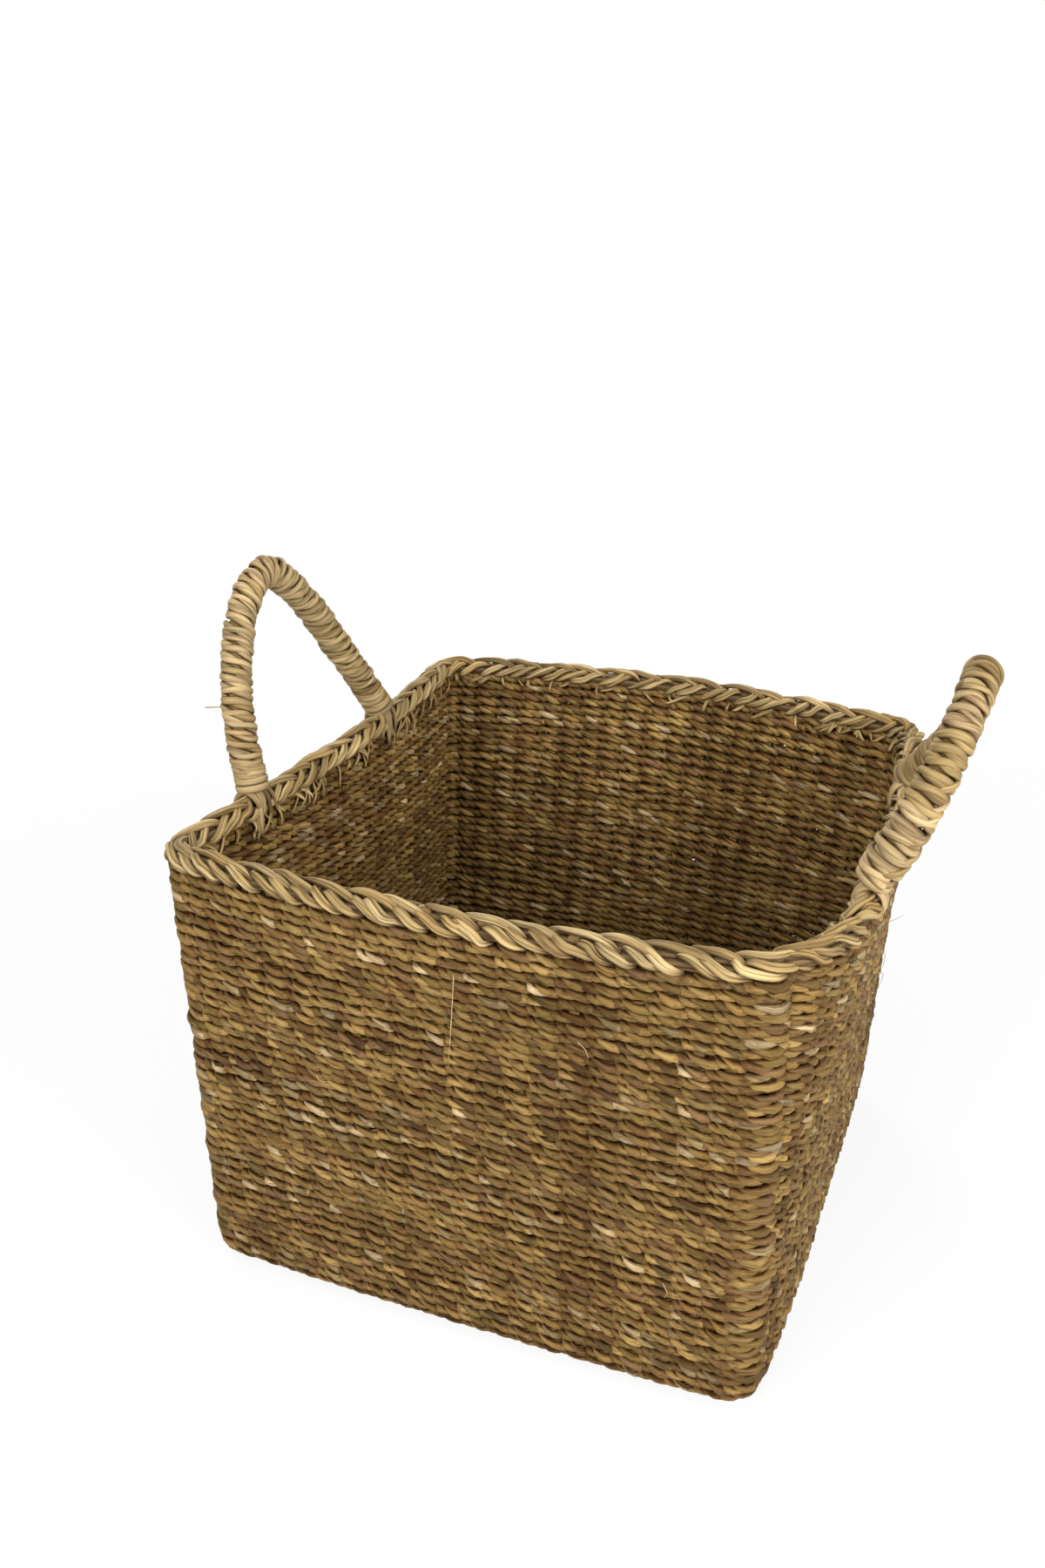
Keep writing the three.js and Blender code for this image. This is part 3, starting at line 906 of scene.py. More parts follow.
@dataclass
class TwinedWall:
    """The two strands that pass outside and inside the stakes in turn, up the whole wall."""

    form: BasketForm
    materials: Materials
    twining: Twining = Twining(15 * MM)
    seed: int = 11
    courses: int = 44
    steps: int = 7
    edge_shade: float = 1.0
    gather: float = 0.08
    sway: float = 1.6 * MM
    top_gap: float = -1.5 * MM
    overlap: float = 0.4
    fade: float = 50 * MM
    end_share: float = 0.4
    end_taper: float = 2
    place_waves: tuple[Triple, ...] = ((0.09, 17, 1.9), (0.07, 31, -2.6))
    run_waves: tuple[Triple, ...] = ((1.0, 5, 0.5), (0.5, 13, -0.9))
    depth_waves: tuple[Triple, ...] = ((0.4 * MM, 7, 1.3),)
    run_spread: float = 0.4 * MM
    rise_spread: float = 0.2
    depth_spread: float = 0.35 * MM
    roll_spread: float = 0.3
    column_seed: int = 19
    column_depth: float = 0.42 * MM
    column_drift: float = 0.02
    column_waves: int = 3
    column_limits: Pair = (-0.5, 1.5)
    column_shadow: float = 0.6
    # Painted light: strands paler on the inner face, zero at this share of the way from outer to inner.
    inner_painted_light: float = 0.5
    pale_level: float = 0.25
    corner_fill: float = 0.13
    fibre_half: float = 0.28 * MM
    fibre_points: int = 9
    fibre_taper: float = 0.5
    fibre_mix: Triple = (0.7, 0.0, 0.7)
    fibre_dive: float = -1.0

    def strand(self, index: int) -> bpy.types.Object:
        """One of the two strands, from the floor's edge to the border.

        Args:
            index: 0 or 1.

        Returns:
            The strand's object.
        """
        form = self.form
        twining = self.twining
        chance = Chance(self.seed + index)
        total = form.stitches * self.courses
        stitch = np.linspace(0, total, total * self.steps + 1)
        stitch = np.clip(stitch + self.gather * np.sin(FULL_TURN * stitch), 0, total)
        course = stitch / form.stitches
        place = stitch + waves(self.place_waves, course)
        pitch = form.run_length / (self.courses - 1)
        run = np.minimum(pitch * (course - self.overlap), form.run_length - self.top_gap)
        gentle = np.clip(np.minimum(run, form.run_length - run) / self.fade, 0, 1)
        run = run + self.sway * waves(self.run_waves, course) * gentle
        run = run + chance.along(stitch, self.run_spread)
        slope = np.sin((place + index) * HALF_TURN) * (1 + chance.along(stitch, self.rise_spread))
        run = run - twining.rise * slope
        depth, wide, thick = twining.sizes(place + index)
        uneven = chance.along(stitch, self.depth_spread) + waves(self.depth_waves, course)
        sunk = self.columns(place, course)
        depth = depth + (uneven + self.column_depth * sunk) * gentle
        corner = np.clip(1 - np.abs(stitch % (form.stakes + 1) - form.stakes), 0, 1)
        wide = wide * (1 + self.corner_fill * corner)
        ends = lerp(self.end_share, 1, np.minimum(np.minimum(stitch, total - stitch) / self.end_taper, 1))
        batch = StrandBatch(f"weft_strand_{ORDER[index]}", ROUND, self.edge_shade)
        twining.plies(
            batch,
            form.place(stitch, run, depth),
            form.outward(stitch, run),
            form.onward(stitch, run),
            (wide * ends, thick * ends),
            chance.along(stitch, self.roll_spread) + twining.roll(place),
            chance,
            stitch,
            sunk=np.clip(sunk, *self.column_limits) * self.column_shadow,
            # Painted light: strands paler where they lie on the inner face and a little darker on the outer
            # face.
            paler=self.inner_painted_light * (twining.away(place + index) - self.pale_level),
        )
        if index == 0:
            self.loose_ends(batch)
        return batch.build(self.materials.get(Finish.WALL))

    def columns(self, place: np.ndarray, course: np.ndarray) -> np.ndarray:
        """How far each column of stitches lies back from its neighbours.

        Args:
            place: Places round the basket, in stitches.
            course: Courses up the wall at the same points.

        Returns:
            One value for each point, spread about 0.
        """
        depths = Chance(self.column_seed).rng.normal(0, 1, self.form.stitches)
        drift = self.column_drift * course * np.sin(course * FULL_TURN * self.column_waves)
        return np.interp((place + drift) % self.form.stitches, np.arange(self.form.stitches), depths)

    def loose_ends(self, batch: StrandBatch) -> None:
        """Adds the thin fibres that have come loose from the wall's face."""
        for keys in LOOSE_FIBRES:
            line = smooth_keys(np.array(keys), self.fibre_points)
            centres = self.form.place(line[:, 0], line[:, 1] * MM, line[:, 2] * MM)
            outward = self.form.outward(line[:, 0], line[:, 1] * MM)
            half = self.fibre_half * np.linspace(1, self.fibre_taper, len(line))
            batch.add(centres, outward, half, half, np.array(self.fibre_mix), self.fibre_dive)

    def build(self) -> list[bpy.types.Object]:
        """Builds both strands, in place of the wall's two skins.

        Returns:
            Their objects.
        """
        made = []
        for index, node in enumerate(("wall_weft_outer", "wall_weft_inner")):
            strand = self.strand(index)
            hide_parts(node)
            made.append(strand)
        return made


@dataclass
class TwinedFloor:
    """Rows of twining over and under the crossed stakes of the floor."""

    form: BasketForm
    materials: Materials
    twining: Twining = Twining(19.5 * MM)
    seed: int = 31
    pitch: float = 7.4 * MM
    steps: int = 6
    edge_shade: float = 0.5
    overrun: float = 6.5 * MM
    reach: float = 1.5 * MM
    row_spread: float = 0.35 * MM

    def build(self) -> list[bpy.types.Object]:
        """Builds the rows' two strands, in place of the floor's two skins.

        Returns:
            Their objects.
        """
        form = self.form
        half_width = form.base.width / 2 - form.edge_radius + self.overrun
        half_depth = form.base.depth / 2 - form.edge_radius + form.base.bows[0] + self.reach
        rows = round(2 * half_depth / self.pitch)
        straight = form.base.width / 2 - form.base.corner
        stake_places = (2 * form.stake_shares(0) - 1) * straight
        spacing = stake_places[1] - stake_places[0]
        count = math.ceil(2 * half_width / spacing) * self.steps
        x = np.linspace(-half_width, half_width, count)
        stitch = (x - stake_places[0]) / spacing
        made = []
        for index, node in enumerate(("floor_weft_under", "floor_weft_upper")):
            chance = Chance(self.seed + index)
            batch = StrandBatch(f"floor_strand_{ORDER[index]}", ROUND, self.edge_shade)
            for row in range(rows):
                place = stitch + row + index
                y = lerp(-half_depth, half_depth, (row + 0.5) / rows)
                y = y - self.twining.rise * np.sin(place * HALF_TURN) + chance.along(stitch, self.row_spread)
                depth, wide, thick = self.twining.sizes(place)
                self.twining.plies(
                    batch,
                    np.column_stack([x, y, form.floor_thickness - depth]),
                    np.tile(UP, (count, 1)),
                    np.tile([1.0, 0.0, 0.0], (count, 1)),
                    (wide, thick),
                    self.twining.roll(stitch + row),
                    chance,
                    stitch,
                )
            floor = batch.build(self.materials.get(Finish.WALL))
            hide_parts(node)
            made.append(floor)
        return made


@dataclass(frozen=True)
class RowPath:
    """Course of a border row's strands: stitches on, depth, height and half width in millimetres."""

    name: str
    node: str
    keys: tuple[Quad, ...]
    core: Triple
    seed: int
    spacing: float = 0.78


OUTER_KEYS = (
    (0.0, 7.0, 9.5, 1.8), (0.2, 4.2, 13.2, 2.6), (0.55, 1.4, 11.2, 3.0),
    (0.9, 0.2, 7.9, 3.0), (1.25, 0.6, 4.9, 2.5), (1.55, 3.0, 3.0, 1.3),
)
CREST_KEYS = (
    (0.0, 11.6, 9.5, 1.6), (0.35, 11.0, 13.6, 2.8), (0.9, 9.2, 15.4, 3.3),
    (1.5, 7.0, 15.2, 3.3), (2.1, 4.4, 13.2, 2.8), (2.5, 2.6, 9.4, 1.5),
)
WALL_DEPTH = 15
INNER_KEYS = tuple((on, WALL_DEPTH - depth, height, half) for on, depth, height, half in OUTER_KEYS)
BORDER_ROWS = (
    RowPath("border_outer_strands", "border_outer_row", OUTER_KEYS, (4.0, 7.0, 3.0), 51),
    RowPath("border_inner_strands", "border_inner_row", INNER_KEYS, (11.0, 7.0, 3.0), 53),
    RowPath("border_crest_strands", "border_top_row", CREST_KEYS, (7.5, 9.8, 3.0), 57, 1.44),
)


@dataclass
class Border:
    """The plaited border: strands over its outer side, over its inner side and along its crest."""

    form: BasketForm
    materials: Materials
    steps: int = 15
    edge_shade: float = 0.75
    pairing: float = -0.14
    start_spread: float = 0.09
    slant_spread: float = 0.2
    path_spread: float = 0.6
    half_shares: Pair = (0.9, 1.12)
    plies: int = 3
    twist: float = 0.9
    apart: Pair = (0.5, 0.3)
    ply_shares: Pair = (0.44, 0.6)
    ply_flatness: float = 0.78
    ply_mix: float = 0.12
    ply_roll: float = 0.5
    end_dive: float = 3.4
    dive_level: float = 0.08
    dive_swing: float = 0.26
    core_steps: int = 4
    core_mix: Triple = (0.3, 0.5, 0.2)
    core_dive: float = 0.6
    tuft_share: float = 0.28
    tuft_size: int = 5
    tuft_lengths: Quad = (0.6, 0.8, 0.45, 1.0)
    tuck_keys: tuple[Triple, ...] = (
        (0.0, 12.5, 3.5), (0.18, 16.2, 1.8), (0.36, 17.0, -1.6), (0.55, 16.4, -5.5),
    )
    tuck_points: int = 8
    tuck_spread: float = 0.25
    tuck_slants: Pair = (-1.2, 1.8)
    tuck_reaches: Pair = (0.6, 2.1)
    tuck_depths: Pair = (-0.6, 3.2)
    depth_shares: Pair = (0.8, 0.6)
    tuck_halves: Pair = (1.0 * MM, 2.2 * MM)
    tuck_taper: float = 0.5
    tuck_flatness: float = 0.6
    tuck_dives: Pair = (0.5, -0.3)

    def core(self, batch: StrandBatch, path: RowPath) -> None:
        """Adds the filler stalks that a row's strands pass over.

        Args:
            batch: Where they go.
            path: The row.
        """
        stitch = np.linspace(0, self.form.stitches, self.form.stitches * self.core_steps + 1)
        depth, height, half = (value * MM for value in path.core)
        centres = self.form.place(stitch, self.form.run_length + height, depth)
        # The core lies under the strands, so core_dive paints it in shade.
        batch.add(centres, UP, half, half, np.array(self.core_mix), self.core_dive)

    def tucks(self, batch: StrandBatch, chance: Chance) -> None:
        """Adds the cut ends that stand out inside, under the border.

        Args:
            batch: Where they go.
            chance: Their unevenness.
        """
        tufts = np.where(chance.rng.uniform(0, 1, self.form.stitches) < self.tuft_share, self.tuft_size, 1)
        for start in np.repeat(np.arange(self.form.stitches), tufts):
            keys = np.array(self.tuck_keys)
            root = start + chance.rng.normal(0, self.tuck_spread)
            keys[:, 0] = root + keys[:, 0] * chance.rng.uniform(*self.tuck_slants)
            side = start // (self.form.stakes + 1)
            reach = chance.rng.uniform(*self.tuck_reaches) * self.tuft_lengths[side]
            keys[2:, 2] = keys[1, 2] + (keys[2:, 2] - keys[1, 2]) * reach
            keys[2:, 1] += chance.rng.uniform(*self.tuck_depths) * np.array(self.depth_shares)
            centres, outward = self.form.rim_line(smooth_keys(keys, self.tuck_points))
            half = chance.rng.uniform(*self.tuck_halves) * np.linspace(1, self.tuck_taper, self.tuck_points)
            # Painted shade at each tuck's root under the border, fading out towards its tip.
            dive = np.linspace(*self.tuck_dives, self.tuck_points)
            batch.add(centres, -outward, half, half * self.tuck_flatness, chance.mix(), dive, start)

    def bundle(
        self, batch: StrandBatch, centres: np.ndarray, outward: np.ndarray, half: np.ndarray, chance: Chance
    ) -> None:
        """Adds one strand as a few stalks that lie together with a slow twist.

        Args:
            batch: Where the stalks go.
            centres: The strand's centre line.
            outward: The way it faces at each point.
            half: Half of its width at each point.
            chance: Its unevenness.
        """
        along = tangents(centres)
        across = unit(np.cross(along, outward))
        facing = np.cross(across, along)
        share = np.linspace(0, 1, len(centres))
        spin = chance.rng.uniform(0, FULL_TURN)
        mix = chance.mix()
        for ply in range(self.plies):
            angle = spin + ply * FULL_TURN / self.plies + share * self.twist
            offset = turned(across * self.apart[0], facing * self.apart[1], angle) * half[:, None]
            own = np.clip(mix + chance.rng.normal(0, self.ply_mix, 3), 0, 1)
            size = half * chance.rng.uniform(*self.ply_shares)
            thick = size * self.ply_flatness
            # Painted shade towards the strand's ends, where it goes under, and on plies lying underneath.
            dive = self.end_dive * (share - 0.5) ** 2 + self.dive_level - self.dive_swing * np.sin(angle)
            roll = chance.rng.uniform(-self.ply_roll, self.ply_roll)
            batch.add(centres + offset, outward, size, thick, own, np.clip(dive, 0, 1), chance.start(), roll)

    def row(self, path: RowPath) -> bpy.types.Object:
        """All strands of one row.

        Args:
            path: The course of each strand.

        Returns:
            The row's object.
        """
        chance = Chance(path.seed)
        batch = StrandBatch(path.name, CREASED, self.edge_shade)
        self.core(batch, path)
        if path.node == "border_inner_row":
            self.tucks(batch, chance)
        for number, start in enumerate(np.arange(0, self.form.stitches, path.spacing)):
            keys = np.array(path.keys)
            root = start + (number % 2) * self.pairing * path.spacing
            keys[:, 0] += root + chance.rng.normal(0, self.start_spread)
            keys[:, 0] += np.linspace(0, chance.rng.normal(0, self.slant_spread), len(keys))
            keys[1:-1, 1:3] += chance.rng.normal(0, self.path_spread, (len(keys) - 2, 2))
            keys[:, 3] *= chance.rng.uniform(*self.half_shares)
            line = smooth_keys(keys, self.steps)
            centres, outward = self.form.rim_line(line)
            lean = np.clip(line[:, 1] / (self.form.wall_thickness / MM), 0, 1)[:, None]
            facing = unit(outward * (1 - 2 * lean) + UP)
            self.bundle(batch, centres, facing, line[:, 3] * MM, chance)
        made = batch.build(self.materials.get(Finish.BORDER))
        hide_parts(path.node)
        return made

    def build(self) -> list[bpy.types.Object]:
        """All rows of the border."""
        return [self.row(path) for path in BORDER_ROWS]


@dataclass(frozen=True)
class HandleForm:
    """Arch of one handle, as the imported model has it."""

    form: BasketForm
    side: int
    legs: tuple[int, int]
    rise: float
    lean: float
    bows: Pair
    peak_share: float = 0.44
    shares: tuple[Pair, ...] = (
        (0, 0), (0.02, 0.28), (0.1, 0.6), (0.26, 0.9), (0.44, 1), (0.64, 0.78), (0.82, 0.42), (1, 0),
    )
    lift: float = 0.5 * MM
    piece_points: int = 60

    def roots(self) -> np.ndarray:
        """Where the legs stand on top of the border.

        Returns:
            The front and the back foot, one row each.
        """
        places = self.form.stake_shares(self.side)
        spacing = places[1] - places[0]
        index = np.array(self.legs) if self.side == 1 else self.form.stakes - 2 - np.array(self.legs)
        turn = 2 * self.side + places[index] + spacing / 2
        flat = self.form.outline(self.form.rim, turn, self.form.wall_thickness / 2)
        height = self.form.wall_height + self.form.border_height + self.lift
        return np.column_stack([flat, np.full(2, height)])

    def axes(self) -> tuple[np.ndarray, np.ndarray, np.ndarray]:
        """The leaning arch's own axes.

        Returns:
            The span from front to back foot, and unit vectors up and out of the arch.
        """
        front, back = self.roots()
        span = back - front
        across = span / np.linalg.norm(span)
        flat_out = np.array([1.0 if self.side == 1 else -1.0, 0, 0])
        flat_out = unit(flat_out - across * flat_out.dot(across))
        lean = math.radians(self.lean)
        up = UP * math.cos(lean) + flat_out * math.sin(lean)
        out = flat_out * math.cos(lean) - UP * math.sin(lean)
        return span, up, out

    def curve(self, count: int = 400) -> np.ndarray:
        """The arch's line.

        Args:
            count: How many points to return.

        Returns:
            Points at even steps from the front foot to the back foot.
        """
        front = self.roots()[0]
        span, up, out = self.axes()
        keys = []
        for along, height in self.shares:
            bow = self.bows[0] if along < self.peak_share else self.bows[1]
            swept = out * 4 * height * (1 - height) * bow
            keys.append(front + span * along + up * height * self.rise + swept)
        keys = np.array(keys)
        padded = np.vstack([2 * keys[0] - keys[1], keys, 2 * keys[-1] - keys[-2]])
        points = []
        for first in range(len(keys) - 1):
            a, b, c, d = padded[first:first + 4]
            before, here, after = (math.sqrt(np.linalg.norm(q - p)) for p, q in ((a, b), (b, c), (c, d)))
            start = ((b - a) / before - (c - a) / (before + here) + (c - b) / here) * here
            end = ((c - b) / here - (d - b) / (here + after) + (d - c) / after) * here
            t = np.linspace(0, 1, self.piece_points, endpoint=first == len(keys) - 2)[:, None]
            piece = b * (2 * t**3 - 3 * t**2 + 1) + start * (t**3 - 2 * t**2 + t)
            points.append(piece + c * (3 * t**2 - 2 * t**3) + end * (t**3 - t**2))
        line = np.concatenate(points)
        return on_line(line, np.linspace(0, run_lengths(line)[-1], count))


class Sway(Enum):
    """Unevenness of a winding: how often it changes in one turn, and its spread."""

    WANDER = (2.2, 0.6 * MM)
    GIRTH = (4, 0.45 * MM)
    TWIST = (2, 0.7)
    SHIFT = (4, 0.3 * MM)
    REACH = (5, 0.2 * MM)
    HALF = (4, 0.12)
    DIVE = (6, 0.1)
    ROLL = (3, 0.2)


@dataclass(frozen=True)
class Crossings:
    """Strands that cross the winding on a front leg."""

    count: int = 0
    points: int = 10
    first: float = 16 * MM
    spacing: float = 11 * MM
    run: float = 7 * MM
    run_spread: float = 1 * MM
    angle: float = 1.2
    slant: float = 0.9
    angle_spread: float = 0.15
    lift: float = 1.1 * MM
    tuck: float = 3.2 * MM
    halves: Pair = (2.0 * MM, 2.7 * MM)
    taper: float = 0.3
    flatness: float = 0.7
    end_dive: float = 0.3
    start: float = 0.7


@dataclass(frozen=True)
class LooseFibre:
    """One fibre that stands off a winding, at a share of the arch."""

    share: float
    way: Triple = (-0.8, -0.6, 0.0)
    length: float = 12 * MM
    rise: float = 0.01
    points: int = 8
    halves: Pair = (0.8 * MM, 0.4 * MM)
    mix: Triple = (0.6, 0.5, 0.6)


@dataclass
class Handle:
    """One handle: the strands wound round its core, and the lashings at its feet."""

    name: str
    arch: HandleForm
    materials: Materials
    seed: int
    radius: float = 9.2 * MM
    pitch: float = 20.4 * MM
    starts: int = 3
    start_angle: float = 0.6
    start_twist: float = 2.1
    twists: float = 1.35
    splice_pace: float = 2
    splices: tuple[int, int] = (2, 7)
    plies: int = 2
    ply_spacing: float = 3.1 * MM
    ply_half: float = 2.3 * MM
    ply_lift: float = 0.55 * MM
    ply_mix: float = 0.1
    ply_start: float = 0.7
    flatness: float = 0.66
    dive_level: float = 0.12
    dive_swing: float = 0.34
    roll_swing: float = 0.35
    edge_shade: float = 0.8
    steps_per_turn: int = 48
    end_share: float = 1 / 48
    foot_swell: float = 0.0
    swell_share: float = 0.4
    feet_seed: int = 3
    crossings: Crossings = Crossings()
    loose: LooseFibre | None = None

    def winding(self) -> bpy.types.Object:
        """Winds the strands from lashing to lashing.

        Returns:
            The winding's object.
        """
        chance = Chance(self.seed)
        line = self.arch.curve()
        total = run_lengths(line)[-1]
        batch = StrandBatch(f"handle_strands_{self.name}", FULL, self.edge_shade)
        first, last = total * self.end_share, total * (1 - self.end_share)
        turns = (last - first) / self.pitch
        turn = np.arange(math.ceil(turns * self.steps_per_turn)) / self.steps_per_turn

        def uneven(sway: Sway) -> np.ndarray:
            """One kind of unevenness along the winding."""
            pace, spread = sway.value
            return chance.along(turn * pace, spread)

        for start in range(self.starts):
            wander = uneven(Sway.WANDER)
            girth = uneven(Sway.GIRTH)
            own = chance.spliced(turn * self.splice_pace, *self.splices)
            twist = turn * self.twists * FULL_TURN + uneven(Sway.TWIST) + start * self.start_twist
            angle = start * FULL_TURN / self.starts + self.start_angle - turn * FULL_TURN
            for ply in range(self.plies):
                phase = twist + ply * FULL_TURN / self.plies
                shift = np.cos(phase) * self.ply_spacing / 2 + uneven(Sway.SHIFT)
                at = first + turn * self.pitch + wander + shift
                at = np.clip(at, first - self.pitch / 2, last + self.pitch / 2)
                spoke = self.spoke(unit(on_line(line, at + MM) - on_line(line, at - MM)), angle)
                reach = self.radius + girth + np.sin(phase) * self.ply_lift + uneven(Sway.REACH)
                reach = reach + self.swell(at, total)
                half = self.ply_half * (1 + uneven(Sway.HALF))
                mix = np.clip(own + chance.rng.normal(0, self.ply_mix, 3), 0, 1)
                # Painted shade on the ply that lies lower in the winding.
                dive = np.clip(self.dive_level - self.dive_swing * np.sin(phase) + uneven(Sway.DIVE), 0, 1)
                roll = uneven(Sway.ROLL) - self.roll_swing * np.cos(phase)
                centres = on_line(line, at) + spoke * reach[:, None]
                before = ply * self.ply_start + start
                batch.add(centres, spoke, half, half * self.flatness, mix, dive, before, roll)
        self.cross(batch, chance, line)
        self.loosen(batch, line)
        made = batch.build(self.materials.get(Finish.WRAP))
        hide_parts(f"handle_wrap_{self.name}")
        return made

    def spoke(self, tangent: np.ndarray, angle: np.ndarray) -> np.ndarray:
        """Unit vectors square to the arch, turned about it from the way across the handle."""
        side = unit(np.cross(self.arch.axes()[2], tangent))
        return turned(side, np.cross(tangent, side), angle)

    def swell(self, at: np.ndarray, total: float) -> np.ndarray:
        """How much thicker the winding is towards the front foot."""
        return self.foot_swell * np.clip(1 - at / total / self.swell_share, 0, 1)

    def cross(self, batch: StrandBatch, chance: Chance, line: np.ndarray) -> None:
        """Adds the strands that cross the winding on the front leg.

        Args:
            batch: Where they go.
            chance: Their unevenness.
            line: Points along the arch.
        """
        cross = self.crossings
        total = run_lengths(line)[-1]
        way = np.linspace(-1, 1, cross.points)
        for number in range(cross.count):
            middle = cross.first + cross.spacing * number + chance.rng.normal(0, cross.run_spread)
            at = middle + cross.run * way
            centres = on_line(line, at)
            angle = cross.angle + cross.slant * way + chance.rng.normal(0, cross.angle_spread)
            spoke = self.spoke(tangents(centres), angle)
            reach = self.radius + self.swell(at, total) + cross.lift - cross.tuck * way**4
            centres = centres + spoke * reach[:, None]
            half = chance.rng.uniform(*cross.halves) * (1 - cross.taper * way**2)
            thick = half * cross.flatness
            # Painted shade towards the ends, where the strand tucks under the winding.
            dive = cross.end_dive * way**2
            batch.add(centres, spoke, half, thick, chance.mix(), dive, number * cross.start)

    def loosen(self, batch: StrandBatch, line: np.ndarray) -> None:
        """Adds the fibre that stands off the winding, on a handle that has one.

        Args:
            batch: Where it goes.
            line: Points along the arch.
        """
        if self.loose is None:
            return
        root = line[round(self.loose.share * len(line))]
        away = np.linspace(0, self.loose.length, self.loose.points)
        rise = self.loose.rise * np.sqrt(away)
        centres = root + unit(np.array(self.loose.way)) * (self.radius + away)[:, None] + UP * rise[:, None]
        batch.add(centres, UP, *self.loose.halves, np.array(self.loose.mix))

    def build(self) -> list[bpy.types.Object]:
        """Builds the winding and both lashings.

        Returns:
            Their objects.
        """
        seed = self.seed + self.feet_seed
        feet = [Lashing(self.name, self.arch, self.materials, seed + leg, leg) for leg in (0, 1)]
        return [self.winding(), *(foot.build() for foot in feet)]


# Each key of a strap: its way out of the wall's middle, its share of the slant, its height; in millimetres.
STRAP_KEYS = (
    (6.5, 1, 0), (9.0, 0.6, -11), (7.8, 0.2, -6), (4.2, 0, -2), (0, 0, -0.6),
    (-4.2, -0.1, -2), (-7.8, -0.4, -6), (-9.0, -0.8, -11), (-9.2, -1.2, 0),
)


@dataclass
class Lashing:
    """Strands wound round one foot and down over the border; leg is 0 in front and 1 at the back."""

    name: str
    arch: HandleForm
    materials: Materials
    seed: int
    leg: int
    foot_point: int = 20
    coils: int = 5
    coil_points: int = 24
    coil_turns: float = 1.15
    coil_angle: float = 1.9
    coil_height: float = -0.6 * MM
    coil_spacing: float = 4.0 * MM
    coil_climb: float = 3.5 * MM
    coil_reach: float = 10.2 * MM
    coil_narrowing: float = 0.25 * MM
    coil_tuck: float = 0.28
    coil_halves: Pair = (2.2 * MM, 2.7 * MM)
    coil_flatness: float = 0.72
    coil_dive: float = 0.1
    straps: int = 5
    strap_points: int = 22
    strap_spacing: float = 4.2 * MM
    strap_spread: float = 0.7 * MM
    strap_slant: float = 4 * MM
    strap_low_out: Pair = (15, 20)
    strap_low_in: Pair = (17, 30)
    strap_centre: float = 10 * MM
    strap_halves: Pair = (2.1 * MM, 2.8 * MM)
    strap_taper: float = 0.35
    strap_flatness: float = 0.7
    strap_dive: float = 0.15

    def coil(self, batch: StrandBatch, chance: Chance, line: np.ndarray) -> None:
        """Adds the strands wound round the foot.

        Args:
            batch: Where they go.
            chance: Their unevenness.
            line: Points along the arch, from this foot on.
        """
        root = line[0]
        rising = unit(line[self.foot_point] - root)
        span = self.arch.axes()[0]
        across = unit(span - rising * span.dot(rising))
        facing = np.cross(rising, across)
        turn = np.linspace(0, self.coil_turns, self.coil_points)
        tucked = np.abs(np.linspace(-1, 1, self.coil_points)) ** 8
        for coil in range(self.coils):
            height = self.coil_height + coil * self.coil_spacing + turn * self.coil_climb
            reach = (self.coil_reach - self.coil_narrowing * coil) * (1 - self.coil_tuck * tucked)
            spoke = turned(across, facing, coil * self.coil_angle - turn * FULL_TURN)
            centres = root + rising * height[:, None] + spoke * reach[:, None]
            half = chance.rng.uniform(*self.coil_halves)
            thick = half * self.coil_flatness
            # coil_dive gives each coil an even touch of painted shade.
            batch.add(centres, spoke, half, thick, chance.mix(), self.coil_dive, chance.start())

    def strap(self, batch: StrandBatch, chance: Chance, root: np.ndarray) -> None:
        """Adds the strands that run down over the border.

        Args:
            batch: Where they go.
            chance: Their unevenness.
            root: The foot's place on the border.
        """
        span, _, out = self.arch.axes()
        flat_out = unit(np.array([out[0], out[1], 0.0]))
        along = unit(np.array([span[0], span[1], 0.0]))
        taper = 1 - self.strap_taper * np.abs(np.linspace(-1, 1, self.strap_points)) ** 3
        for strap in range(self.straps):
            shift = (strap - self.straps // 2) * self.strap_spacing + chance.rng.normal(0, self.strap_spread)
            slant = chance.rng.uniform(-self.strap_slant, self.strap_slant)
            path = np.array(STRAP_KEYS)
            path[0, 2] = -chance.rng.uniform(*self.strap_low_out)
            path[-1, 2] = -chance.rng.uniform(*self.strap_low_in)
            reach, lean, height = (path[:, axis:axis + 1] for axis in range(3))
            keys = root + flat_out * reach * MM + along * (shift + slant * lean) + UP * height * MM
            centres = smooth_keys(keys, self.strap_points)
            facing = unit(centres - (root - UP * self.strap_centre))
            half = chance.rng.uniform(*self.strap_halves) * taper
            thick = half * self.strap_flatness
            # strap_dive gives each strap an even touch of painted shade.
            batch.add(centres, facing, half, thick, chance.mix(), self.strap_dive, chance.start())

    def build(self) -> bpy.types.Object:
        """Builds the coils and straps of one foot.

        Returns:
            The lashing's object.
        """
        place = ("front", "back")[self.leg]
        chance = Chance(self.seed)
        line = self.arch.curve()[:: 1 if self.leg == 0 else -1]
        batch = StrandBatch(f"lashing_strands_{self.name}_{place}", CREASED)
        self.coil(batch, chance, line)
        self.strap(batch, chance, line[0])
        made = batch.build(self.materials.get(Finish.WRAP))
        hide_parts(f"lashing_{self.name}_{place}")
        return made


# Each lamp: its name, its place and its side in metres, and its power in watts.
LAMPS = (
    ("key_right", (1.7, -0.9, 1.1), 1.1, 50),
    ("fill_front", (-1.1, -3.9, 2.3), 2.0, 158),
    ("top_front", (0.1, -0.6, 1.9), 1.0, 11),
    ("back_left", (-2.4, 3.0, 2.2), 2.0, 120),
)


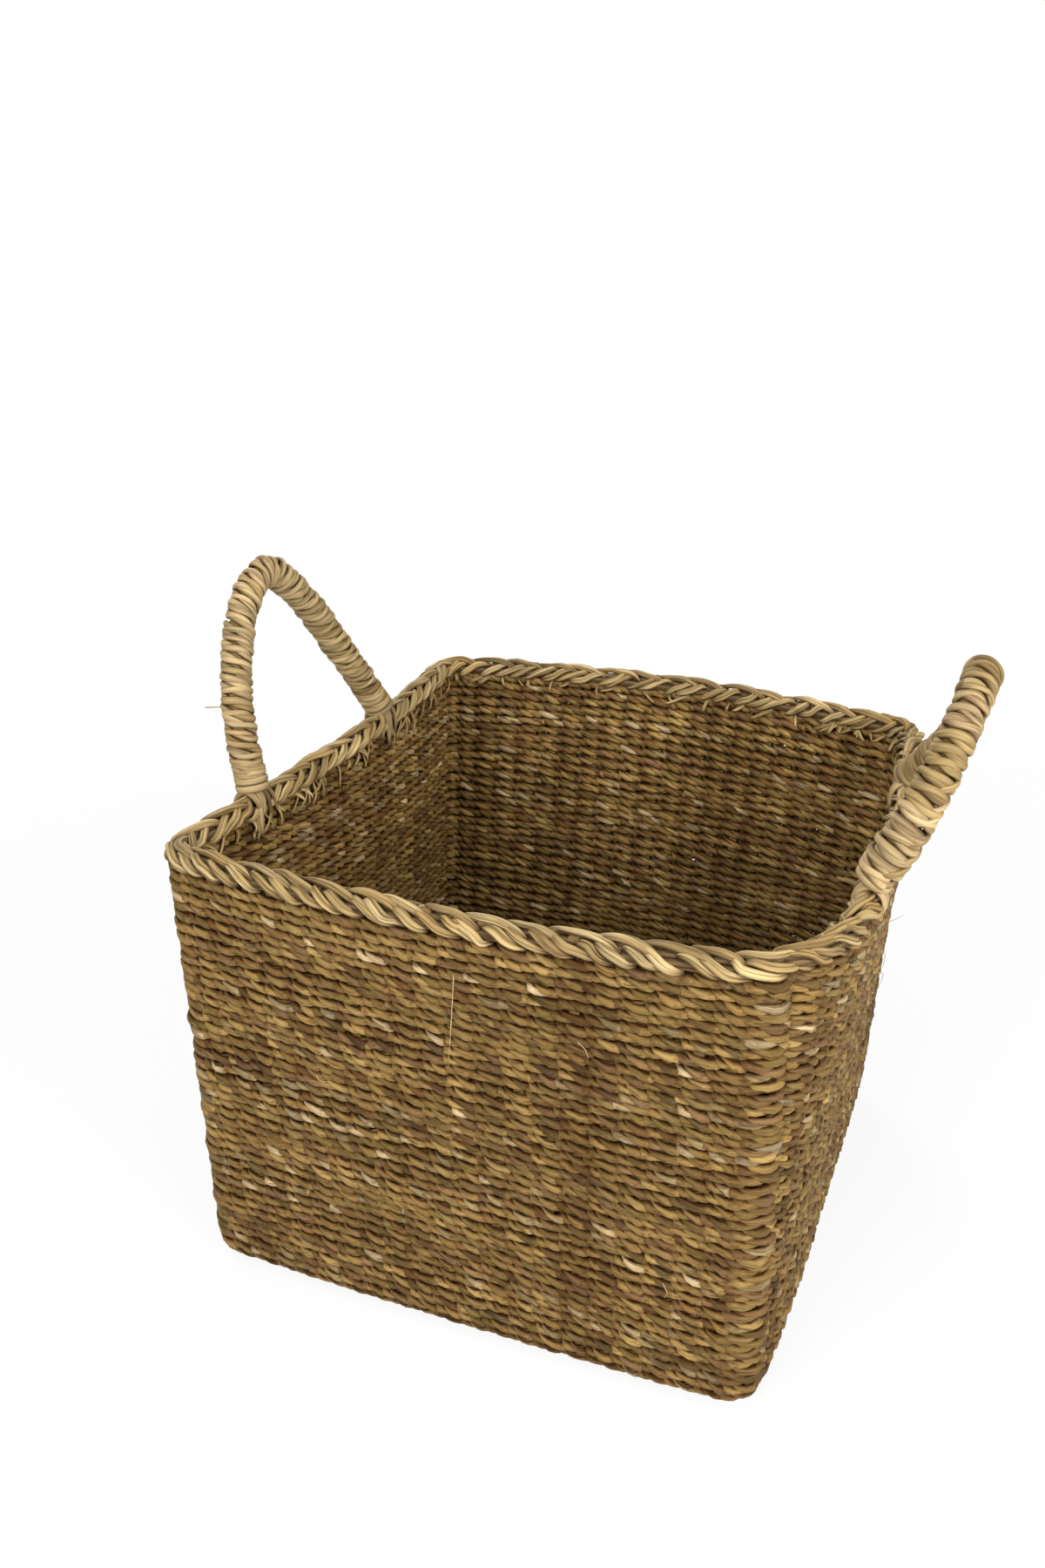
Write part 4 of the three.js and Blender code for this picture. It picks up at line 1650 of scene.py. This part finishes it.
@dataclass
class Studio:
    """Camera at the photograph's angle, pale floor and soft light."""

    lens: float = 32.21
    sensor: float = 36.0
    clip_start: float = 10 * MM
    position: Triple = (319.7 * MM, -837.9 * MM, 714.0 * MM)
    azimuth: float = 22.8
    elevation: float = 23.5
    roll: float = -0.7
    aim: Triple = (0, 0, 0.15)
    room_colour: Quad = (1, 0.985, 0.96, 1)
    room_strength: float = 0.12
    floor_colour: Quad = (0.8, 0.8, 0.8, 1)
    floor_reach: float = 9.0
    floor_gap: float = 0.4 * MM
    fade_start: float = 0.5
    fade_rate: float = 1.1
    near_glow: float = 0.88

    def camera(self) -> None:
        """Places the camera."""
        a, e, r = (math.radians(angle) for angle in (self.azimuth, self.elevation, self.roll))
        back = Vector((math.sin(a) * math.cos(e), -math.cos(a) * math.cos(e), math.sin(e)))
        right = Vector((math.cos(a), math.sin(a), 0))
        up = back.cross(right)
        turned_right = right * math.cos(r) + up * math.sin(r)
        turned_up = up * math.cos(r) - right * math.sin(r)
        data = bpy.data.cameras.new("camera")
        data.lens = self.lens
        data.sensor_width = self.sensor
        data.clip_start = self.clip_start
        camera = bpy.data.objects.new("camera", data)
        matrix = Matrix((turned_right, turned_up, back)).transposed().to_4x4()
        matrix.translation = Vector(self.position)
        camera.matrix_world = matrix
        bpy.context.scene.collection.objects.link(camera)
        bpy.context.scene.camera = camera

    def lamp(self, name: str, place: Triple, size: float, power: float) -> None:
        """Hangs a square lamp that faces the basket.

        Args:
            name: Its name.
            place: Where it hangs.
            size: Its side.
            power: Its power in watts.
        """
        data = bpy.data.lights.new(name, "AREA")
        data.size = size
        data.energy = power
        lamp = bpy.data.objects.new(name, data)
        lamp.location = place
        lamp.rotation_mode = "QUATERNION"
        lamp.rotation_quaternion = (Vector(self.aim) - Vector(place)).to_track_quat("-Z", "Y")
        bpy.context.scene.collection.objects.link(lamp)

    def world(self) -> None:
        """Fills the room with pale light and shows white behind the basket."""
        bench = Bench(bpy.data.worlds.new("room"))
        seen = bench.tone(bench.add("ShaderNodeLightPath"), "Is Camera Ray")
        pale = {"Color": self.room_colour, "Strength": self.room_strength}
        light = bench.add("ShaderNodeBackground", None, pale)
        white = bench.add("ShaderNodeBackground", None, {"Color": WHITE, "Strength": 1.0})
        bench.ended("ShaderNodeOutputWorld", seen, light, white)
        bpy.context.scene.world = bench.owner

    def floor(self) -> None:
        """Lays a pale floor that keeps the basket's shadow."""
        bench = Bench(bpy.data.materials.new("pale_floor"))
        seen = bench.tone(bench.add("ShaderNodeLightPath"), "Is Camera Ray")
        place = bench.tone(bench.add("ShaderNodeTexCoord"), "Object")
        away = bench.tone(bench.add("ShaderNodeVectorMath", {"operation": "LENGTH"}, {0: place}), "Value")
        far = bench.limited((away - self.fade_start) * self.fade_rate)
        matt = bench.add("ShaderNodeBsdfDiffuse", None, {"Color": self.floor_colour})
        glow = bench.add("ShaderNodeEmission", None, {"Color": WHITE, "Strength": 1.0})
        factor = seen * (far * (1 - self.near_glow) + self.near_glow)
        bench.ended("ShaderNodeOutputMaterial", factor, matt, glow)
        mesh = bpy.data.meshes.new("pale_floor")
        reach = self.floor_reach
        corners = [(-reach, -reach, 0), (reach, -reach, 0), (reach, reach, 0), (-reach, reach, 0)]
        mesh.from_pydata(corners, [], [(0, 1, 2, 3)])
        mesh.materials.append(bench.owner)
        floor = bpy.data.objects.new("pale_floor", mesh)
        floor.location.z = -self.floor_gap
        bpy.context.scene.collection.objects.link(floor)

    def build(self) -> None:
        """Sets up the whole studio."""
        self.camera()
        self.world()
        self.floor()
        for lamp in LAMPS:
            self.lamp(*lamp)
        bpy.context.scene.view_settings.view_transform = "Standard"


def dress_nodes(materials: Materials) -> None:
    """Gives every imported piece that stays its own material."""
    for name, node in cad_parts.items():
        finish = Finish.CORE if name.startswith("handle_core") else Finish.UPRIGHT
        node.data.materials.clear()
        node.data.materials.append(materials.get(finish))


def main() -> None:
    """Builds the basket and its studio."""
    logging.basicConfig(level=logging.INFO, format="%(name)s: %(message)s")
    form = BasketForm()
    materials = Materials()
    Studio().build()
    dress_nodes(materials)
    left = HandleForm(form, side=3, legs=(3, 12), rise=131 * MM, lean=12, bows=(1 * MM, 1 * MM))
    right = HandleForm(form, side=1, legs=(4, 13), rise=115 * MM, lean=22, bows=(3 * MM, 9 * MM))
    assemblies = (
        TwinedWall(form, materials),
        TwinedFloor(form, materials),
        Border(form, materials),
        Handle("left", left, materials, 71, loose=LooseFibre(0.17)),
        Handle(
            "right", right, materials, 81, pitch=7.9 * MM, starts=1, ply_spacing=3.7 * MM,
            ply_half=2.65 * MM, foot_swell=2 * MM, crossings=Crossings(6),
        ),
    )
    for assembly in assemblies:
        for piece in assembly.build():
            log.info("%s: %d faces", piece.name, len(piece.data.polygons))


if __name__ == "__main__":
    main()
